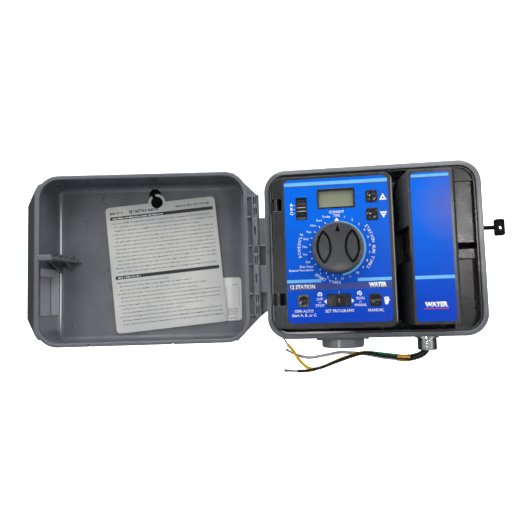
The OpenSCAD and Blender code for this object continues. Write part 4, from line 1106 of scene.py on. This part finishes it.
spine = smooth_path(bends, 8)
cores = 20
width = rib[1].x - rib[0].x
verts, faces = [], []
across = cores * 4 + 1
for side in (1, -1):
    for i, pt in enumerate(spine):
        t = (spine[min(len(spine) - 1, i + 1)] - spine[max(0, i - 1)]).normalized()
        n = Vector((1, 0, 0)).cross(t)
        for k in range(across):
            x = rib[0].x + width * k / (across - 1)
            thick = 0.00018 + 0.00027 * abs(math.sin(math.pi * k / 4))
            verts.append(Vector((x, pt.y, pt.z)) + n * thick * side)
rows = len(spine)
half = rows * across
for i in range(rows - 1):
    for k in range(across - 1):
        a = i * across + k
        faces.append((a, a + 1, a + across + 1, a + across))
        faces.append((half + a, half + a + across, half + a + across + 1, half + a + 1))
    for k in (0, across - 1):
        a = i * across + k
        quad = (a, a + across, half + a + across, half + a)
        faces.append(quad if k == 0 else quad[::-1])
for i in (0, rows - 1):
    for k in range(across - 1):
        a = i * across + k
        quad = (a, half + a, half + a + 1, a + 1)
        faces.append(quad if i == 0 else quad[::-1])
ribbon = mesh_piece("ribbon", (verts, faces), "ribbon", None)
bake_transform(ribbon)
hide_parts("ribbon_cable")

# terminal numbers on the board
block = box_mm("terminal_block")
board_sheet = place((0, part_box("terminal_board")[0].y, 0))
p = Print(board_sheet, 0.04)
names = ["24", "24", "C", "V"] + [str(i + 1) for i in range(12)]
for i, word in enumerate(names):
    p.text(word, block[0].x + 4.1 + 6.25 * i, block[1].z + 2.4, 2.6)
p.rect(block[0].x, block[1].x, block[1].z + 4.6, block[1].z + 4.8)
p.piece("terminal_numbers", "white", "cabinet")

# black plug beside the hub boss
hub = box_mm("conduit_hub")
plug_x, plug_y = hub[1].x + 2.2, hub[0].y + 12.0
shell_z = box_mm("base_cabinet")[0].z + 2.4
outline = ((0.02, 0), (1.9, 0), (2.2, 0.5), (2.2, 2.2), (1.8, 2.6), (0.9, 2.6), (0.7, 2.1), (0.02, 2.1))
profile = [(r, shell_z - down) for r, down in outline]
mesh_piece("hub_plug", lathe(plug_x, plug_y, profile, 32), "key", "cabinet", smooth=False)


# -------- stage

def backdrop_pale():
    """Paper white to the camera, darker for the light it throws back."""
    m = Mat("backdrop_pale")
    seen = m.add("ShaderNodeLightPath").outputs["Is Camera Ray"]
    pale = m.mix(m.noise(1.5, 2.0), srgb(250, 250, 250), srgb(246, 247, 248))
    m.set("Base Color", m.mix(seen, srgb(120, 121, 123), pale))
    m.set("Roughness", 0.9)
    m.set("Emission Color", srgb(255, 255, 255))
    m.set("Emission Strength", m.ramp(seen, 0.0, 1.0, 0.0, 1.0))
    return m.mat


def stage_sheet():
    """Pale floor that curves up into a plain backdrop."""
    floor_z, back_y, bend_r, side = -0.165, 0.75, 0.5, 3.0
    profile = [(-3.0, floor_z), (back_y - bend_r, floor_z)]
    for k in range(1, 17):
        a = math.pi / 2 * k / 16
        profile.append((back_y - bend_r + bend_r * math.sin(a), floor_z + bend_r * (1 - math.cos(a))))
    profile.append((back_y, 3.0))
    verts = [Vector((s * side, y, z)) for y, z in profile for s in (-1, 1)]
    faces = [(2 * i, 2 * i + 1, 2 * i + 3, 2 * i + 2) for i in range(len(profile) - 1)]
    MATS["backdrop"] = backdrop_pale()
    mesh_piece("backdrop", (verts, faces), "backdrop", None)


def area(name, at, towards, size, power, tint):
    light = bpy.data.lights.new(name, "AREA")
    light.shape = "RECTANGLE"
    light.size, light.size_y = size
    light.energy = power
    light.color = tint
    obj = linked(name, light)
    obj.location = at
    obj.rotation_euler = (Vector(towards) - Vector(at)).to_track_quat("-Z", "Y").to_euler()


stage_sheet()
PLAIN = (1, 1, 1)
LIGHTS = (
    # name, place, aimed at, size, power, tint
    ("key_light", (0.75, -0.80, 1.05), (-0.05, -0.05, 0.0), (0.45, 0.45), 7.0, PLAIN),
    ("top_light", (-0.15, -0.30, 1.25), (-0.05, -0.06, 0.0), (1.3, 0.5), 13.0, PLAIN),
    ("front_light", (-0.45, -1.20, 1.05), (-0.08, -0.05, 0.0), (0.5, 0.5), 6.0, PLAIN),
    ("fill_light", (-0.95, -0.80, 0.10), (0.03, -0.06, 0.0), (0.7, 0.7), 3.2, PLAIN),
    ("nipple_light", (-0.165, -1.20, -0.20), (0.09, -0.03, -0.10), (0.03, 0.5), 1.2, PLAIN),
    ("rear_light", (-0.10, 0.60, 1.10), (-0.10, 0.0, 0.0), (0.5, 0.5), 5.0, PLAIN),
    ("strip_light", (-0.385, -1.20, -0.20), (-0.02, -0.03, -0.10), (0.03, 0.5), 1.4, PLAIN),
    ("side_light", (0.75, -0.75, -0.12), (-0.35, -0.03, -0.04), (0.5, 0.5), 1.1, PLAIN),
    ("glare_light", (0.358, -0.979, 0.135), (0.10, -0.05, 0.01), (0.10, 0.09), 2.2, (1.0, 0.96, 0.93)),
)
for row in LIGHTS:
    area(*row)


def studio_world():
    """Even light for matt faces; reflections see a bright front over dark sides."""
    world = bpy.data.worlds.new("studio")
    bpy.context.scene.world = world
    world.use_nodes = True
    tree = world.node_tree
    nodes, link = tree.nodes, tree.links.new
    back = nodes["Background"]
    direction = nodes.new("ShaderNodeTexCoord").outputs["Generated"]
    split = nodes.new("ShaderNodeSeparateXYZ")
    link(direction, split.inputs[0])

    def ranged(socket, *limits):
        node = nodes.new("ShaderNodeMapRange")
        link(socket, node.inputs["Value"])
        for key, value in zip(("From Min", "From Max", "To Min", "To Max"), limits):
            node.inputs[key].default_value = value
        return node.outputs["Result"]

    front = ranged(split.outputs["Y"], -0.55, -0.98, 0.06, 0.20)
    rise = ranged(split.outputs["Z"], -0.08, 0.28, 0.7, 2.0)
    lit = nodes.new("ShaderNodeMath")
    lit.operation = "MULTIPLY"
    link(front, lit.inputs[0])
    link(rise, lit.inputs[1])
    path = nodes.new("ShaderNodeLightPath")
    pick = nodes.new("ShaderNodeMix")
    link(path.outputs["Is Glossy Ray"], pick.inputs["Factor"])
    pick.inputs["A"].default_value = 0.29
    link(lit.outputs[0], pick.inputs["B"])
    link(pick.outputs["Result"], back.inputs["Strength"])
    back.inputs["Color"].default_value = srgb(246, 248, 252)


studio_world()

view = bpy.context.scene.view_settings
view.view_transform = "Standard"
view.look = "None"

cam_data = bpy.data.cameras.new("camera")
cam_data.sensor_width = 36.0
cam_data.lens = 33.24
cam_data.clip_start = 0.01
camera_at = (-0.0544, -0.6273, -0.0562)
camera = linked("camera", cam_data)
forward = Vector((-0.1193, 0.9900, 0.0751)).normalized()
up = Vector((0.0378, -0.0710, 0.9968))
right = forward.cross(up).normalized()
up = right.cross(forward)
turned = Matrix((right, up, -forward)).transposed().to_4x4()
camera.matrix_world = Matrix.Translation(camera_at) @ turned
bpy.context.scene.camera = camera
